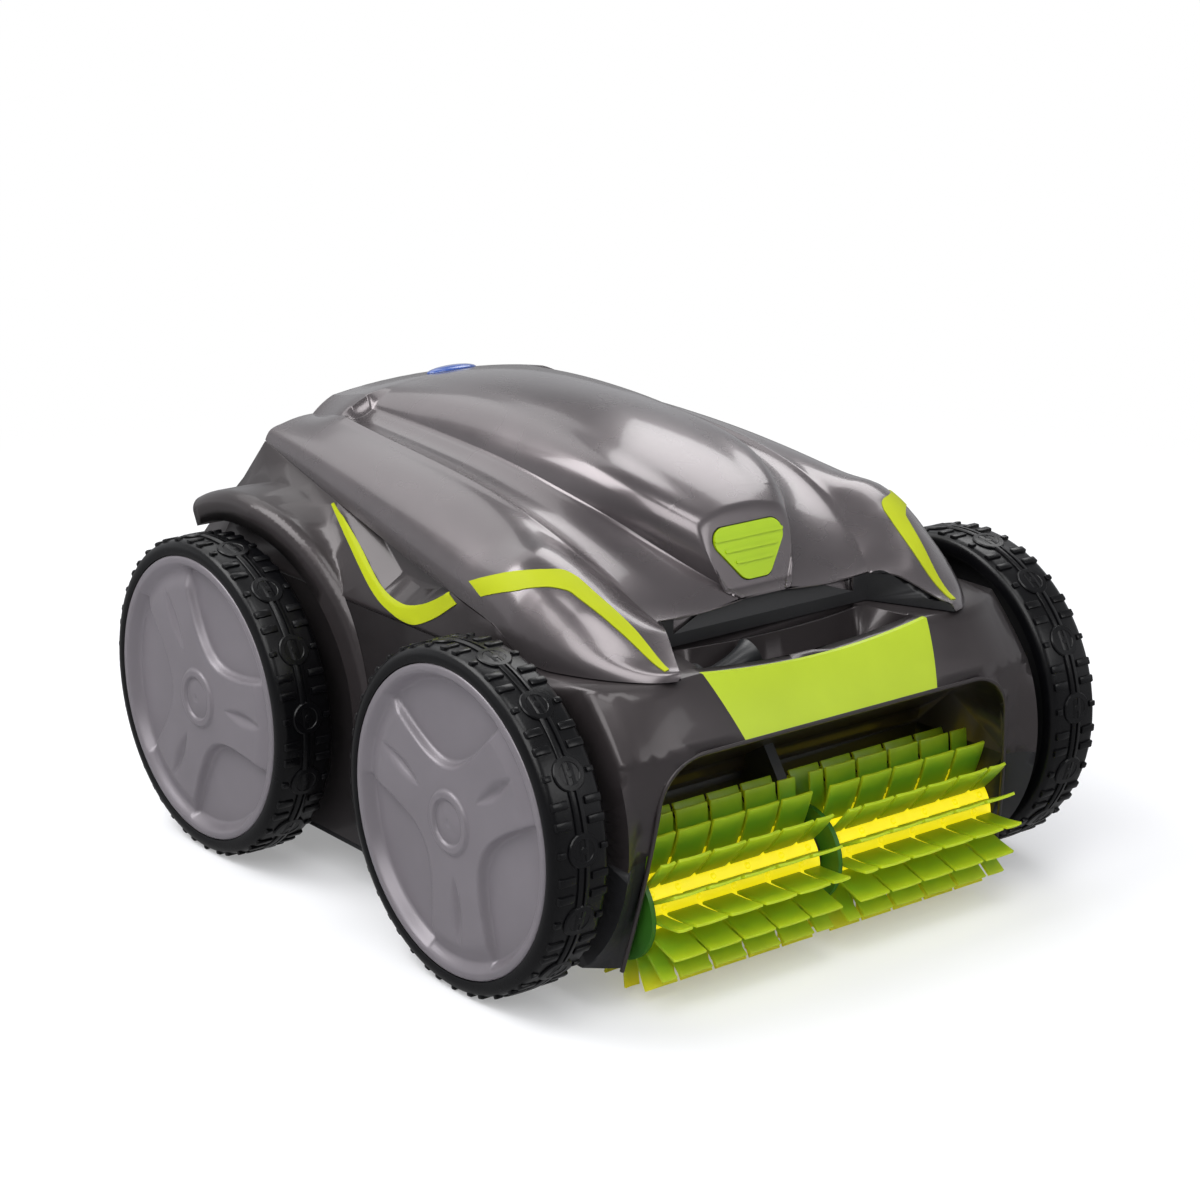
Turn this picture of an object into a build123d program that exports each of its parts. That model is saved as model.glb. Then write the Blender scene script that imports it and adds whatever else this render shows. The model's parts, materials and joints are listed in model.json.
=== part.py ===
"""Robotic pool cleaner: four driven wheels, a finned front brush, a hinged hood over a filter
basket, and a sealed motor block whose propeller blows out of the back.

Frame: origin on the floor under the middle of the machine, +Z up, the brush faces -Y, and +X is
to the right seen from the front. All sizes are in millimetres.
"""

import os
from math import cos, pi, radians, sin, sqrt, tan

from build123d import *

os.makedirs("parts", exist_ok=True)

# Clearances
run_gap = 0.05  # shaft in its bearing, on the radius
slip_gap = 0.3  # loose pieces that lie in a recess
seam_gap = 0.8  # visible line between hood and body
wall = 3.0  # moulded shells

# Wheels
tyre_radius = 97.5
tyre_width = 36.0
tyre_height = 10.5
tread_depth = 3.0
tread_pads = 15
tread_pad_size = 19.0
tread_strip = 6.0
bar_length = 12.0
bar_width = 3.6
bar_turn = 3.1  # of each bar from the middle of its pair, in degrees
wheel_gap = 12.5  # body side to tyre
axle_radius = 6.0
bush_wall = 3.0
hubcap_depth = 9.0
hubcap_lip = 7.0
hubcap_wall = 2.5
boss_radius = 15.0
boss_rise = 2.5
panel_depth = 3.0
panel_start = 30.0  # nearest point of a sunk panel to the axle
panel_spread = 44.0  # half of the angle that its sides open to
panel_slope = 1.0  # draw of its sides
front_panel_turn = 84.0
rear_panel_turn = 60.0
spoke_groove = 1.5

# Gear train on each side
gear_module = 5.0
wheel_teeth = 26
drive_teeth = 26
gear_width = 6.0
gear_bay_gap = 3.0
tooth_height = 0.8  # tip above the pitch line, in modules
tooth_depth = 1.1  # root below the pitch line, in modules

# Brush
brush_radius = 47.0
brush_ahead = 59.5  # in front of the front axle
brush_below = 47.5
brush_core_radius = 21.5
brush_half_length = 129.0
brush_gap = 4.0  # half of the space in the middle
fin_rows = 16
fins_per_row = 5
fin_pitch = 24.4
fin_width = 22.2
fin_thickness = 1.5
fin_root = 2.0
brush_flange_radius = 28.0
brush_flange_width = 3.0
brush_shaft_radius = 5.0

# Body
body_half_width = 150.5
cheek_x = 110.0  # where the front starts to sweep out to the wheel lip
cheek_steps = 4
body_bottom = 20.0
part_line = 87.0
lip_radius = 95.0  # front lip that follows the tyre
nose_reach = 93.5  # furthest point of the front, ahead of the front axle
nose_z = 141.0
toe_reach = 75.5  # bottom of the front, ahead of the front axle
deck_reach = 70.5
deck_z = 176.0
form_top = 262.0
rear_seam_y = 192.0
rear_waist_y = 198.0
rear_waist_z = 212.0
rear_bulge_y = 224.0
rear_bulge_z = 105.0
rear_foot_y = 200.0
lean_z = 175.0  # the sides are upright below this
drive_y = 15.5  # drive shafts, behind the drawing's middle

# Line between hood and body
seam_mid_z = 206.3
seam_slope = 0.146
seam_step_front = -135.0
seam_step_rear = -85.0

# Hood
hood_front_y = -189.0
hood_tip_x = 101.5
hood_rear_x = 116.0
hood_wide_y = -105.0
step_y = 147.0  # the two valleys start here
crown_y = 60.0
crown_z = 279.0
crown_rear_drop = 18.0
crown_front_drop = 41.0
hump_half_width = 66.0
hump_tip_width = 14.7
hump_foot_y = 16.0
crease_wide_y = -31.0
valley_dip = 1.0
foot_rise = 5.5  # hump foot above the outer crease
foot_rise_front = 1.7
step_ramp = 4.0
ridge_in = 14.0
notch_y = -141.5
notch_half_back = 77.0
notch_half_front = 101.0
nose_face_y = -134.2
nose_face_z = 202.2
nose_tilt = 21.3
hinge_y = 199.5
hinge_z = 231.0
hinge_pin_radius = 2.2
hinge_lug_radius = 4.8
hinge_x = 64.0
hinge_lug_width = 11.4
hinge_ear_width = 8.0
hinge_arm_low = 237.0
hinge_arm_top = 246.0
badge_length = 36.0
badge_width = 17.0
badge_y = 158.0
badge_thickness = 2.0
badge_sink = 1.4

# Release button in the hood's nose
button_height = 31.0
button_half_top = 33.0
button_half_bottom = 9.0
button_corner = 8.0
button_depth = 8.0
button_travel = 4.0
button_flange = 2.0
button_proud = 1.0
button_ridges = 3
button_ridge_width = 2.0
button_ridge_height = 0.8
spring_radius = 4.0
spring_wire = 0.9
spring_turns = 5
seat_low = 6.0
seat_high = 65.0

# Carry handle and cable pocket
pocket_back_y = -146.0
pocket_floor_z = 138.0
pocket_half_back = 70.0
pocket_half_front = 84.0
pocket_bow = 8.0  # the back wall stands forward in the middle
gutter_depth = 7.0
gutter_lip = 2.5
handle_bar = 9.5
grip_half_top = 84.0
grip_half_bottom = 69.5
grip_thickness = 3.0
grip_dip = 5.0  # of the top in the middle
gland_x = -71.0  # face of the gland in the pocket
gland_y = -163.0
gland_z = 162.0
gland_neck = 8.5
gland_radius = 10.5
gland_flange = 4.0
gland_seat = 15.0
elbow_radius = 6.5
elbow_mouth = 10.0
elbow_run = 17.0
cable_bore = 4.2
elbow_length = 26.0
elbow_tilt = 18.0

# Brush bay
bay_radius = 50.0
bay_half_width = 133.0
arch_half_bottom = 143.5
arch_half_top = 124.0
arch_z = 141.0
arch_corner = 28.0
arch_flare_y = -183.0

# Rear fenders
fender_radius = 120.0
fender_thickness = 17.5
fender_outer_x = 166.0
fender_start = 63.0
fender_end = 182.0
fender_taper_y = 134.0  # the outer face draws in ahead of this
fender_taper = 0.13
fender_edge = 9.0

# Scoops in the sides under the hood line, by points (y, z) on the side
scoop_front = (-45.0, 199.3)
scoop_rear = (88.5, 218.8)
scoop_low = (-15.0, 184.6)
scoop_corner = 40.0  # along the scoop
scoop_drop = 30.0
scoop_radius = 44.0
scoop_depth = 9.0
scoop_slope = 1.3  # rise of its wall for each millimetre of depth

# Inside
basket_front_y = -100.0
basket_rear_y = 88.0
basket_half_width = 104.0
basket_floor_z = 143.0
basket_height = 62.0
basket_wall = 2.0
basket_windows = 4
mesh_thickness = 0.8
lid_height = 5.0
inlet_length = 28.0
inlet_half_width = 88.0
mouth_front_y = -84.0
mouth_rear_y = -52.0
mouth_half_width = 40.0
nozzle_wall = 2.5
inlet_corner = 6.0
flap_thickness = 1.5
flap_pin_radius = 1.5
motor_front_y = -42.0
motor_rear_y = 92.0
motor_half_width = 126.0
motor_top_z = 134.0
motor_corner = 10.0
drive_seat = 10.0
pump_z = 130.0
pump_radius = 27.0
pump_boss_y = 122.0
pump_shaft_y = 101.0
duct_front_y = 126.0
duct_radius = 38.0
duct_wall = 2.5
propeller_radius = 35.5
propeller_y = 140.0
propeller_hub = 10.0
propeller_length = 16.0
blade_count = 4
blade_chord = 14.0
blade_thickness = 2.0
pump_shaft_radius = 3.5
grille_bars = 5
grille_y = 206.0
lift_y = 20.0
lift_reach = 36.0
lift_rod = 5.0
lift_pin_radius = 2.0
lift_ear_x = 46.0

# Places worked out from the sizes above
wheel_base = gear_module * (wheel_teeth + drive_teeth)
front_axle_y = drive_y - wheel_base / 2
rear_axle_y = drive_y + wheel_base / 2
axle_z = tyre_radius
brush_y = front_axle_y - brush_ahead
brush_z = axle_z - brush_below
frame_shift = -(rear_axle_y + tyre_radius + brush_y - brush_radius) / 2
main_front_y = brush_y + bay_radius - 1.0
pan_front_y = brush_y + bay_radius + 2 * wall
inlet_front_y = pan_front_y + 2 * nozzle_wall
inlet_rear_y = inlet_front_y + inlet_length
spring_seat = button_depth + 4 * button_travel  # behind the nose face
wheel_in = body_half_width + wheel_gap
wheel_out = wheel_in + tyre_width
rim_radius = tyre_radius - tyre_height
cover_in = body_half_width - wall
floor_z = body_bottom + wall
gear_wall_x = bay_half_width + wall
gear_mid_x = (gear_wall_x + cover_in) / 2
gear_tip_radius = gear_module * (wheel_teeth / 2 + tooth_height)
gear_bay_radius = gear_tip_radius + gear_bay_gap
cover_radius = gear_bay_radius + wall
bush_radius = axle_radius + run_gap + bush_wall
sides = {"left": -1, "right": 1}
axles = {"front": front_axle_y, "rear": rear_axle_y}


def side_plane(x, y=0.0, z=0.0):
    """Plane that looks along X: its first axis is Y and its second is Z."""
    return Plane(origin=(x, y, z), x_dir=(0, 1, 0), z_dir=(1, 0, 0))


def cross_plane(y, x=0.0, z=0.0):
    """Plane that looks along Y: its first axis is X and its second is Z."""
    return Plane(origin=(x, y, z), x_dir=(1, 0, 0), z_dir=(0, -1, 0))


def smooth(low, high, value):
    """Share from 0 to 1 that eases in and out between two places."""
    share = min(max((value - low) / (high - low), 0.0), 1.0)
    return share * share * (3 - 2 * share)


def save(part, name):
    """Move a finished piece to the machine's middle, label it and write its file."""
    placed = part.moved(Location((0, frame_shift, 0)))
    placed.label = name
    export_step(placed, f"parts/{name}.step")


# Body form: one side view in the middle, and one at the lips beside the wheels
def lip_y(z):
    """Front of the wheel lip at a height."""
    return front_axle_y - sqrt(lip_radius**2 - (z - axle_z) ** 2)


def body_section(x, share, inset=0.0):
    """Closed side view of the body, from its middle (share 0) to a wheel lip (share 1).

    The inset draws it in at the front, back and bottom.
    """
    low = body_bottom + inset
    mid_z = (nose_z + deck_z) / 2
    toe, nose, deck = (front_axle_y - reach for reach in (toe_reach, nose_reach, deck_reach))
    toe += (lip_y(body_bottom) - toe) * share
    nose += (lip_y(nose_z) - nose) * share
    deck += (lip_y(deck_z) - deck) * share
    bend_z = (body_bottom + nose_z) / 2
    bend_z += (axle_z - bend_z) * share
    low_bend = (toe + nose) / 2 - wall
    low_bend += (front_axle_y - lip_radius - low_bend) * share
    high_bend = (nose + deck) / 2 - wall / 2
    rear_slope = (rear_waist_y - rear_seam_y) / (seam_mid_z + seam_slope * rear_seam_y - rear_waist_z)
    rear_top = rear_waist_y - (form_top - rear_waist_z) * rear_slope
    with BuildSketch(side_plane(x)) as section:
        with BuildLine():
            ThreePointArc((toe + inset, low), (low_bend + inset, bend_z), (nose + inset, nose_z))
            ThreePointArc((nose + inset, nose_z), (high_bend + inset, mid_z), (deck + inset, deck_z))
            Polyline(
                (deck + inset, deck_z),
                (deck + inset, form_top),
                (rear_top - inset, form_top),
                (rear_waist_y - inset, rear_waist_z),
            )
            ThreePointArc(
                (rear_waist_y - inset, rear_waist_z),
                (rear_bulge_y - inset, rear_bulge_z),
                (rear_foot_y - inset, low),
            )
            Line((rear_foot_y - inset, low), (toe + inset, low))
        make_face()
    return section.sketch


def body_form(inset=0.0, mode=Mode.ADD):
    """Solid body form, swept out at the front to the two wheel lips."""
    outer = body_half_width - inset
    shares = [step / cheek_steps for step in range(cheek_steps + 1)]
    right = [body_section(cheek_x + (outer - cheek_x) * share, share**2, inset) for share in shares]
    left = [body_section(-cheek_x - (outer - cheek_x) * share, share**2, inset) for share in shares]
    loft([*reversed(left), *right], ruled=True, mode=mode)


def seam_z(y):
    """Height of the line between hood and body."""
    upper = seam_mid_z + seam_slope * y
    return deck_z + (upper - deck_z) * smooth(seam_step_front, seam_step_rear, y)


def seam_region(shift, above):
    """Side view of all that lies above or below the hood line."""
    far = 400.0
    step_z = seam_mid_z + seam_slope * seam_step_rear
    end_z = form_top + far if above else -far
    with BuildSketch(side_plane(-far)) as region:
        with BuildLine():
            Line((-far, deck_z + shift), (seam_step_front, deck_z + shift))
            Spline(
                (seam_step_front, deck_z + shift),
                (seam_step_rear, step_z + shift),
                tangents=((1, 0), (1, seam_slope)),
            )
            Polyline(
                (seam_step_rear, step_z + shift),
                (far, seam_mid_z + seam_slope * far + shift),
                (far, end_z),
                (-far, end_z),
                (-far, deck_z + shift),
            )
        make_face()
    return region.sketch, 2 * far


def cut_at_seam(shift, above):
    """Take away all that lies above or below the hood line."""
    region, width = seam_region(shift, above)
    extrude(region, amount=width, mode=Mode.SUBTRACT)


def hood_half(y):
    """Half width of the hood at its lower edge."""
    if y >= hood_wide_y:
        share = (y - hood_wide_y) / (rear_seam_y - hood_wide_y)
        return body_half_width - (body_half_width - hood_rear_x) * share**1.3
    share = min((hood_wide_y - y) / (hood_wide_y - hood_front_y), 1.0)
    return hood_tip_x + (body_half_width - hood_tip_x) * (1 - share**1.6) ** 0.625


def lean_cut(inset):
    """Trim both sides of the form so that they lean in towards the hood line."""
    outer = body_half_width - inset
    far = body_half_width + 60
    for sign in sides.values():
        stations = []
        for y in (hood_wide_y, 0.0, 90.0, rear_seam_y, rear_bulge_y + 20):
            rise = (form_top - lean_z) / (seam_z(y) - lean_z)
            top_x = outer - (body_half_width - hood_half(y)) * rise
            with BuildSketch(cross_plane(y)) as station:
                with BuildLine():
                    Polyline(
                        (sign * outer, lean_z),
                        (sign * top_x, form_top),
                        (sign * far, form_top),
                        (sign * far, lean_z),
                        close=True,
                    )
                make_face()
            stations.append(station.sketch)
        loft(stations, ruled=True, mode=Mode.SUBTRACT)


def slot_region(x, radius):
    """Round ended slot over both axles."""
    with BuildSketch(side_plane(x, (front_axle_y + rear_axle_y) / 2, axle_z)) as region:
        SlotCenterToCenter(wheel_base, 2 * radius)
    return region.sketch


def cylinder_x(x, y, z, radius, length, mode=Mode.ADD):
    """Round bar or hole along X, from x onwards."""
    with BuildSketch(side_plane(x, y, z)) as disc:
        Circle(radius)
    extrude(disc.sketch, amount=length, mode=mode)


def fender(sign):
    """Rounded band over the rear wheel that follows the tyre down to its front."""
    low_x = hood_rear_x + 2 * wall
    front_y = rear_axle_y - fender_radius
    draw_in = fender_taper * (fender_taper_y - front_y)
    with BuildPart() as band:
        with BuildSketch(side_plane(sign * low_x, rear_axle_y, axle_z)) as arch:
            with BuildLine():
                sweep_angle = fender_end - fender_start
                top = CenterArc((0, 0), fender_radius, fender_start, sweep_angle)
                low = CenterArc((0, 0), fender_radius - fender_thickness, fender_start, sweep_angle)
                Line(top @ 0, low @ 0)
                Line(top @ 1, low @ 1)
            make_face()
        extrude(arch.sketch, amount=sign * (fender_outer_x - low_x))
        with BuildSketch(Plane.XY) as plan:
            with BuildLine():
                Polyline(
                    (sign * fender_outer_x, fender_taper_y),
                    (sign * (fender_outer_x - draw_in), front_y),
                    (sign * (fender_outer_x + wall), front_y),
                    (sign * (fender_outer_x + wall), fender_taper_y),
                    close=True,
                )
            make_face()
        extrude(plan.sketch, amount=form_top, mode=Mode.SUBTRACT)
        rim_edges = []
        for edge in band.edges():
            from_axle = Vector(0, edge.center().Y - rear_axle_y, edge.center().Z - axle_z).length
            on_face = abs(edge.center().X) > fender_outer_x - draw_in
            if on_face and from_axle > fender_radius - 2 * wall and edge.length > fender_thickness:
                rim_edges.append(edge)
        fillet(rim_edges, fender_edge)
        over_cover = body_half_width + slip_gap - gear_wall_x
        extrude(slot_region(sign * gear_wall_x, cover_radius), amount=sign * over_cover, mode=Mode.SUBTRACT)
    return band.part


def side_point(y, z):
    """Point on the leaning right side of the body."""
    lean = (z - lean_z) / (seam_z(y) - lean_z)
    return Vector(body_half_width - (body_half_width - hood_half(y)) * lean, y, z)


def scoop_section(depth, grow):
    """V of a side scoop at a depth under the right side, pointing down."""
    front, rear, low = side_point(*scoop_front), side_point(*scoop_rear), side_point(*scoop_low)
    length = (rear - front).length
    outward = (low - front).cross(rear - front)
    rise = scoop_slope * depth - 1.5 * grow
    top = 2 * wall
    front_end = (rise - top) * scoop_corner / scoop_drop
    rear_end = length + (top - rise) * (length - scoop_corner) / scoop_drop
    side = Plane(origin=front, x_dir=rear - front, z_dir=outward).offset(-depth)
    with BuildSketch(side) as region:
        with BuildLine():
            edge = FilletPolyline(
                (front_end, top),
                (scoop_corner, rise - scoop_drop),
                (rear_end, top),
                radius=scoop_radius,
            )
            Line(edge @ 1, edge @ 0)
        make_face()
    return region.sketch


def scoops(grow, mode):
    """Sunk scoops in both sides; grown, they stand for the walls round them as well."""
    with BuildPart() as right:
        loft([scoop_section(-2 * wall, grow), scoop_section(scoop_depth + grow, grow)], ruled=True)
    add(right.part, mode=mode)
    add(mirror(right.part, about=Plane.YZ, mode=Mode.PRIVATE), mode=mode)


def bay_region():
    """Side view of the brush bay, open to the front and below."""
    back = brush_y + bay_radius
    roof_back = (back - 7, brush_z + 48)
    with BuildSketch(side_plane(-bay_half_width)) as region:
        with BuildLine():
            Polyline(
                (back - 8, -10),
                (brush_y - 60, -10),
                (brush_y - 60, arch_z),
                (front_axle_y - nose_reach + 6, arch_z),
                roof_back,
            )
            ThreePointArc(roof_back, (back, brush_z), (back - 8, -10))
        make_face()
    return region.sketch


def arch_region(y, half_bottom, half_top):
    """Front view of the brush opening."""
    with BuildSketch(cross_plane(y)) as region:
        with BuildLine():
            Polyline(
                (-half_bottom, -10),
                (-half_top, arch_z),
                (half_top, arch_z),
                (half_bottom, -10),
                close=True,
            )
        make_face()
        fillet(region.vertices().group_by(Axis.Z)[-1], arch_corner)
    return region.sketch


with BuildPart() as bay:
    extrude(bay_region(), amount=2 * bay_half_width)
    straight_arch = arch_region(brush_y - brush_flange_radius, bay_half_width, bay_half_width)
    extrude(straight_arch, amount=-200, mode=Mode.INTERSECT)
    loft(
        [
            arch_region(brush_y - bay_radius, arch_half_bottom + 2 * wall, arch_half_top),
            arch_region(arch_flare_y, bay_half_width, arch_half_top),
        ]
    )


def pocket_region(x):
    """Side view of the space behind the carry handle."""
    top_front = front_axle_y - deck_reach + handle_bar
    low_front = front_axle_y - nose_reach + handle_bar + 5
    with BuildSketch(side_plane(x)) as region:
        with BuildLine():
            Polyline(
                (top_front, deck_z + 10),
                (top_front, deck_z),
                (low_front, nose_z + 4),
                (low_front + 4, pocket_floor_z),
                (pocket_back_y, pocket_floor_z),
                (pocket_back_y, deck_z + 10),
                close=True,
            )
        make_face()
    return region.sketch


with BuildPart() as pocket:
    extrude(pocket_region(-notch_half_front), amount=2 * notch_half_front)
    with BuildSketch(Plane.XY.offset(pocket_floor_z)) as pocket_plan:
        with BuildLine():
            pocket_front_y = front_axle_y - nose_reach
            Polyline(
                (pocket_half_back, pocket_back_y),
                (pocket_half_front, pocket_front_y),
                (-pocket_half_front, pocket_front_y),
                (-pocket_half_back, pocket_back_y),
            )
            ThreePointArc(
                (-pocket_half_back, pocket_back_y),
                (0, pocket_back_y - pocket_bow),
                (pocket_half_back, pocket_back_y),
            )
        make_face()
    extrude(amount=100, mode=Mode.INTERSECT)
    with BuildSketch(Plane.XY.offset(deck_z - gutter_depth)) as gutter:
        with BuildLine():
            gutter_half = pocket_half_back - gutter_lip
            gutter_y = pocket_back_y + gutter_lip
            Polyline(
                (gutter_half, gutter_y),
                (gutter_half, notch_y + wall),
                (-gutter_half, notch_y + wall),
                (-gutter_half, gutter_y),
            )
            ThreePointArc((-gutter_half, gutter_y), (0, gutter_y - pocket_bow), (gutter_half, gutter_y))
        make_face()
    extrude(gutter.sketch, amount=2 * gutter_depth)
    with BuildSketch(cross_plane(front_axle_y - nose_reach - 30)) as dip:
        with BuildLine():
            ThreePointArc((-grip_half_top, deck_z), (0, deck_z - grip_dip), (grip_half_top, deck_z))
            Polyline(
                (grip_half_top, deck_z),
                (grip_half_top, deck_z + 10),
                (-grip_half_top, deck_z + 10),
                (-grip_half_top, deck_z),
            )
        make_face()
    extrude(dip.sketch, amount=deck_reach - nose_reach - 30 - handle_bar - wall)


def grip_plan(grow):
    """Front view of the grip, wider at its top."""
    with BuildSketch(cross_plane(front_axle_y - nose_reach - 30)) as region:
        with BuildLine():
            Polyline(
                (-grip_half_top - grow, deck_z + 6),
                (grip_half_top + grow, deck_z + 6),
                (grip_half_bottom + grow, nose_z - 1 - grow),
                (-grip_half_bottom - grow, nose_z - 1 - grow),
                close=True,
            )
        make_face()
    return region.sketch


# Soft cover on the carry handle, let into the front of the body
with BuildPart() as handle_grip:
    body_form()
    body_form(inset=grip_thickness, mode=Mode.SUBTRACT)
    extrude(grip_plan(0), amount=-90, mode=Mode.INTERSECT)
    cut_at_seam(-seam_gap / 2, True)
    split(bisect_by=Plane.XZ.offset(-main_front_y), keep=Keep.TOP)
    add(pocket.part, mode=Mode.SUBTRACT)
save(handle_grip.part, "handle_grip")


# Body skin shared by the upper shell and the lower chassis, before it is parted
with BuildPart() as body_skin:
    body_form()
    lean_cut(0)
    for sign in sides.values():
        extrude(slot_region(sign * gear_wall_x, gear_bay_radius), amount=sign * 60, mode=Mode.SUBTRACT)
        extrude(slot_region(sign * cover_in, cover_radius), amount=sign * (wall + 1), mode=Mode.SUBTRACT)
        add(fender(sign))
    cut_at_seam(-seam_gap / 2, True)
    scoops(0, Mode.SUBTRACT)
    add(pocket.part, mode=Mode.SUBTRACT)
    add(bay.part, mode=Mode.SUBTRACT)
    add(handle_grip.part, mode=Mode.SUBTRACT)


def main_space(half_width, front_y, low, high):
    """Inside of the body behind the brush bay."""
    with BuildPart() as space:
        body_form(inset=wall)
        with BuildSketch(Plane.XY.offset(low)):
            with Locations((0, (front_y + 300) / 2)):
                Rectangle(2 * half_width, 300 - front_y)
        extrude(amount=high - low, mode=Mode.INTERSECT)
    return space.part


with BuildPart() as upper_space:
    body_form(inset=wall)
    lean_cut(wall)
    with BuildSketch(Plane.XY.offset(lean_z)):
        with Locations((0, (main_front_y + 300) / 2)):
            Rectangle(2 * body_half_width, 300 - main_front_y)
    extrude(amount=100, mode=Mode.INTERSECT)
    scoops(wall, Mode.SUBTRACT)


with BuildPart() as upper_shell:
    add(body_skin.part)
    split(bisect_by=Plane.XY.offset(part_line), keep=Keep.TOP)
    add(main_space(gear_wall_x + slip_gap, main_front_y, part_line - 1, lean_z + 1), mode=Mode.SUBTRACT)
    add(upper_space.part, mode=Mode.SUBTRACT)
    with BuildSketch(cross_plane(duct_front_y, 0, pump_z)) as outlet_hole:
        Circle(duct_radius + duct_wall)
    extrude(outlet_hole.sketch, amount=-140, mode=Mode.SUBTRACT)
    cylinder_x(gland_x - gland_seat, gland_y, gland_z, gland_neck, 2 * gland_seat, Mode.SUBTRACT)
    for sign in sides.values():
        ear_inner = hinge_x - hinge_lug_width / 2 - slip_gap - hinge_ear_width
        ear_outer = hinge_x + hinge_lug_width / 2 + slip_gap
        for ear_x in (ear_inner, ear_outer):
            low_x = min(sign * ear_x, sign * (ear_x + hinge_ear_width))
            with BuildSketch(side_plane(low_x)) as ear:
                with Locations((hinge_y, hinge_z)):
                    Circle(hinge_lug_radius)
                with BuildLine():
                    Polyline(
                        (hinge_y + hinge_lug_radius, hinge_z),
                        (hinge_y - hinge_lug_radius - 5, hinge_z),
                        (rear_waist_y - 1, rear_waist_z),
                        (rear_waist_y + 0.5, rear_waist_z - 2),
                        close=True,
                    )
                make_face()
            extrude(ear.sketch, amount=hinge_ear_width)
            cylinder_x(low_x, hinge_y, hinge_z, hinge_pin_radius, hinge_ear_width, Mode.SUBTRACT)
save(upper_shell.part, "upper_shell")


# Lower chassis: the pan under the parting line, with the upright walls that carry the gears
def gear_wall_region(x):
    """Side view of an upright wall inside the body."""
    with BuildSketch(side_plane(x)) as region:
        with BuildLine():
            Polyline(
                (main_front_y + slip_gap, part_line),
                (main_front_y + slip_gap, lean_z - wall),
                (rear_waist_y - 2 * wall, lean_z - wall),
                (rear_waist_y - 2 * wall, part_line),
                close=True,
            )
        make_face()
    return region.sketch


with BuildPart() as chassis:
    add(body_skin.part)
    split(bisect_by=Plane.XY.offset(part_line), keep=Keep.BOTTOM)
    add(main_space(bay_half_width, pan_front_y, floor_z, part_line + 1), mode=Mode.SUBTRACT)
    for sign in sides.values():
        extrude(gear_wall_region(sign * bay_half_width), amount=sign * wall)
        for y in (front_axle_y, drive_y, rear_axle_y):
            cylinder_x(sign * (bay_half_width - 1), y, axle_z, bush_radius, sign * (wall + 2), Mode.SUBTRACT)
    with BuildSketch(Plane.XY.offset(body_bottom)) as inlet_slot:
        with Locations((0, (inlet_front_y + inlet_rear_y) / 2)):
            RectangleRounded(2 * inlet_half_width, inlet_rear_y - inlet_front_y, inlet_corner)
    extrude(inlet_slot.sketch, amount=wall, mode=Mode.SUBTRACT)
    for sign in sides.values():
        seat_x = sign * (bay_half_width - slip_gap)
        cylinder_x(seat_x, brush_y, brush_z, brush_shaft_radius + run_gap, sign * 2 * wall, Mode.SUBTRACT)
save(chassis.part, "chassis")


# Covers over the gear bays, with the outer axle bearings in them
for side, sign in sides.items():
    with BuildPart() as side_cover:
        extrude(slot_region(sign * cover_in, cover_radius - slip_gap), amount=sign * wall)
        for y in axles.values():
            cylinder_x(sign * cover_in, y, axle_z, bush_radius, sign * wall, Mode.SUBTRACT)
    save(side_cover.part, f"side_cover_{side}")


# Plain bearings of the axles and drive shafts, all alike
with BuildPart() as axle_bushes:
    for sign in sides.values():
        for y in (front_axle_y, drive_y, rear_axle_y):
            seats = (bay_half_width,) if y == drive_y else (bay_half_width, cover_in)
            for seat in seats:
                with BuildSketch(side_plane(sign * seat, y, axle_z)) as ring:
                    Circle(bush_radius)
                    Circle(axle_radius + run_gap, mode=Mode.SUBTRACT)
                extrude(ring.sketch, amount=sign * wall)
save(axle_bushes.part, "axle_bushes")


# Gears with straight flanked moulded teeth
def gear_region(x, y, teeth, turned):
    """Gear outline on the gear train's plane, turned by a share of a tooth."""
    pitch = gear_module * teeth / 2
    tip, root = pitch + tooth_height * gear_module, pitch - tooth_depth * gear_module
    step = 2 * pi / teeth
    corners = []
    for tooth in range(teeth):
        middle = step * (tooth + turned)
        for radius, share in ((root, -0.33), (tip, -0.13), (tip, 0.13), (root, 0.33)):
            angle = middle + step * share
            corners.append((radius * cos(angle), radius * sin(angle)))
    with BuildSketch(side_plane(x, y, axle_z)) as region:
        with BuildLine():
            Polyline(*corners, close=True)
        make_face()
        Circle(axle_radius, mode=Mode.SUBTRACT)
    return region.sketch


gear_x = gear_mid_x - gear_width / 2
for side, sign in sides.items():
    for end, y in axles.items():
        with BuildPart() as wheel_gear:
            extrude(gear_region(sign * gear_x, y, wheel_teeth, 0), amount=sign * gear_width)
        save(wheel_gear.part, f"wheel_gear_{end}_{side}")
    with BuildPart() as drive_gear:
        extrude(gear_region(sign * gear_x, drive_y, drive_teeth, 0.5), amount=sign * gear_width)
    save(drive_gear.part, f"drive_gear_{side}")
    with BuildPart() as drive_shaft:
        shaft_start = motor_half_width - drive_seat
        shaft_length = gear_x + gear_width - shaft_start
        cylinder_x(sign * shaft_start, drive_y, axle_z, axle_radius, sign * shaft_length)
    save(drive_shaft.part, f"drive_shaft_{side}")


# Wheels: axle, rim, tyre and hubcap
axle_start = bay_half_width - wall
hubcap_in = wheel_out - hubcap_depth
axle_end = hubcap_in - wall


def turned_profile(y, points, sign):
    """Solid of revolution about an axle from (distance from the middle, radius) points."""
    with BuildSketch(Plane(origin=(0, y, axle_z), x_dir=(1, 0, 0), z_dir=(0, -1, 0))) as profile:
        with BuildLine():
            Polyline(*[(sign * x, radius) for x, radius in points], close=True)
        make_face()
    revolve(profile.sketch, axis=Axis((0, y, axle_z), (1, 0, 0)))


panel_rim = rim_radius - 10.0


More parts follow.
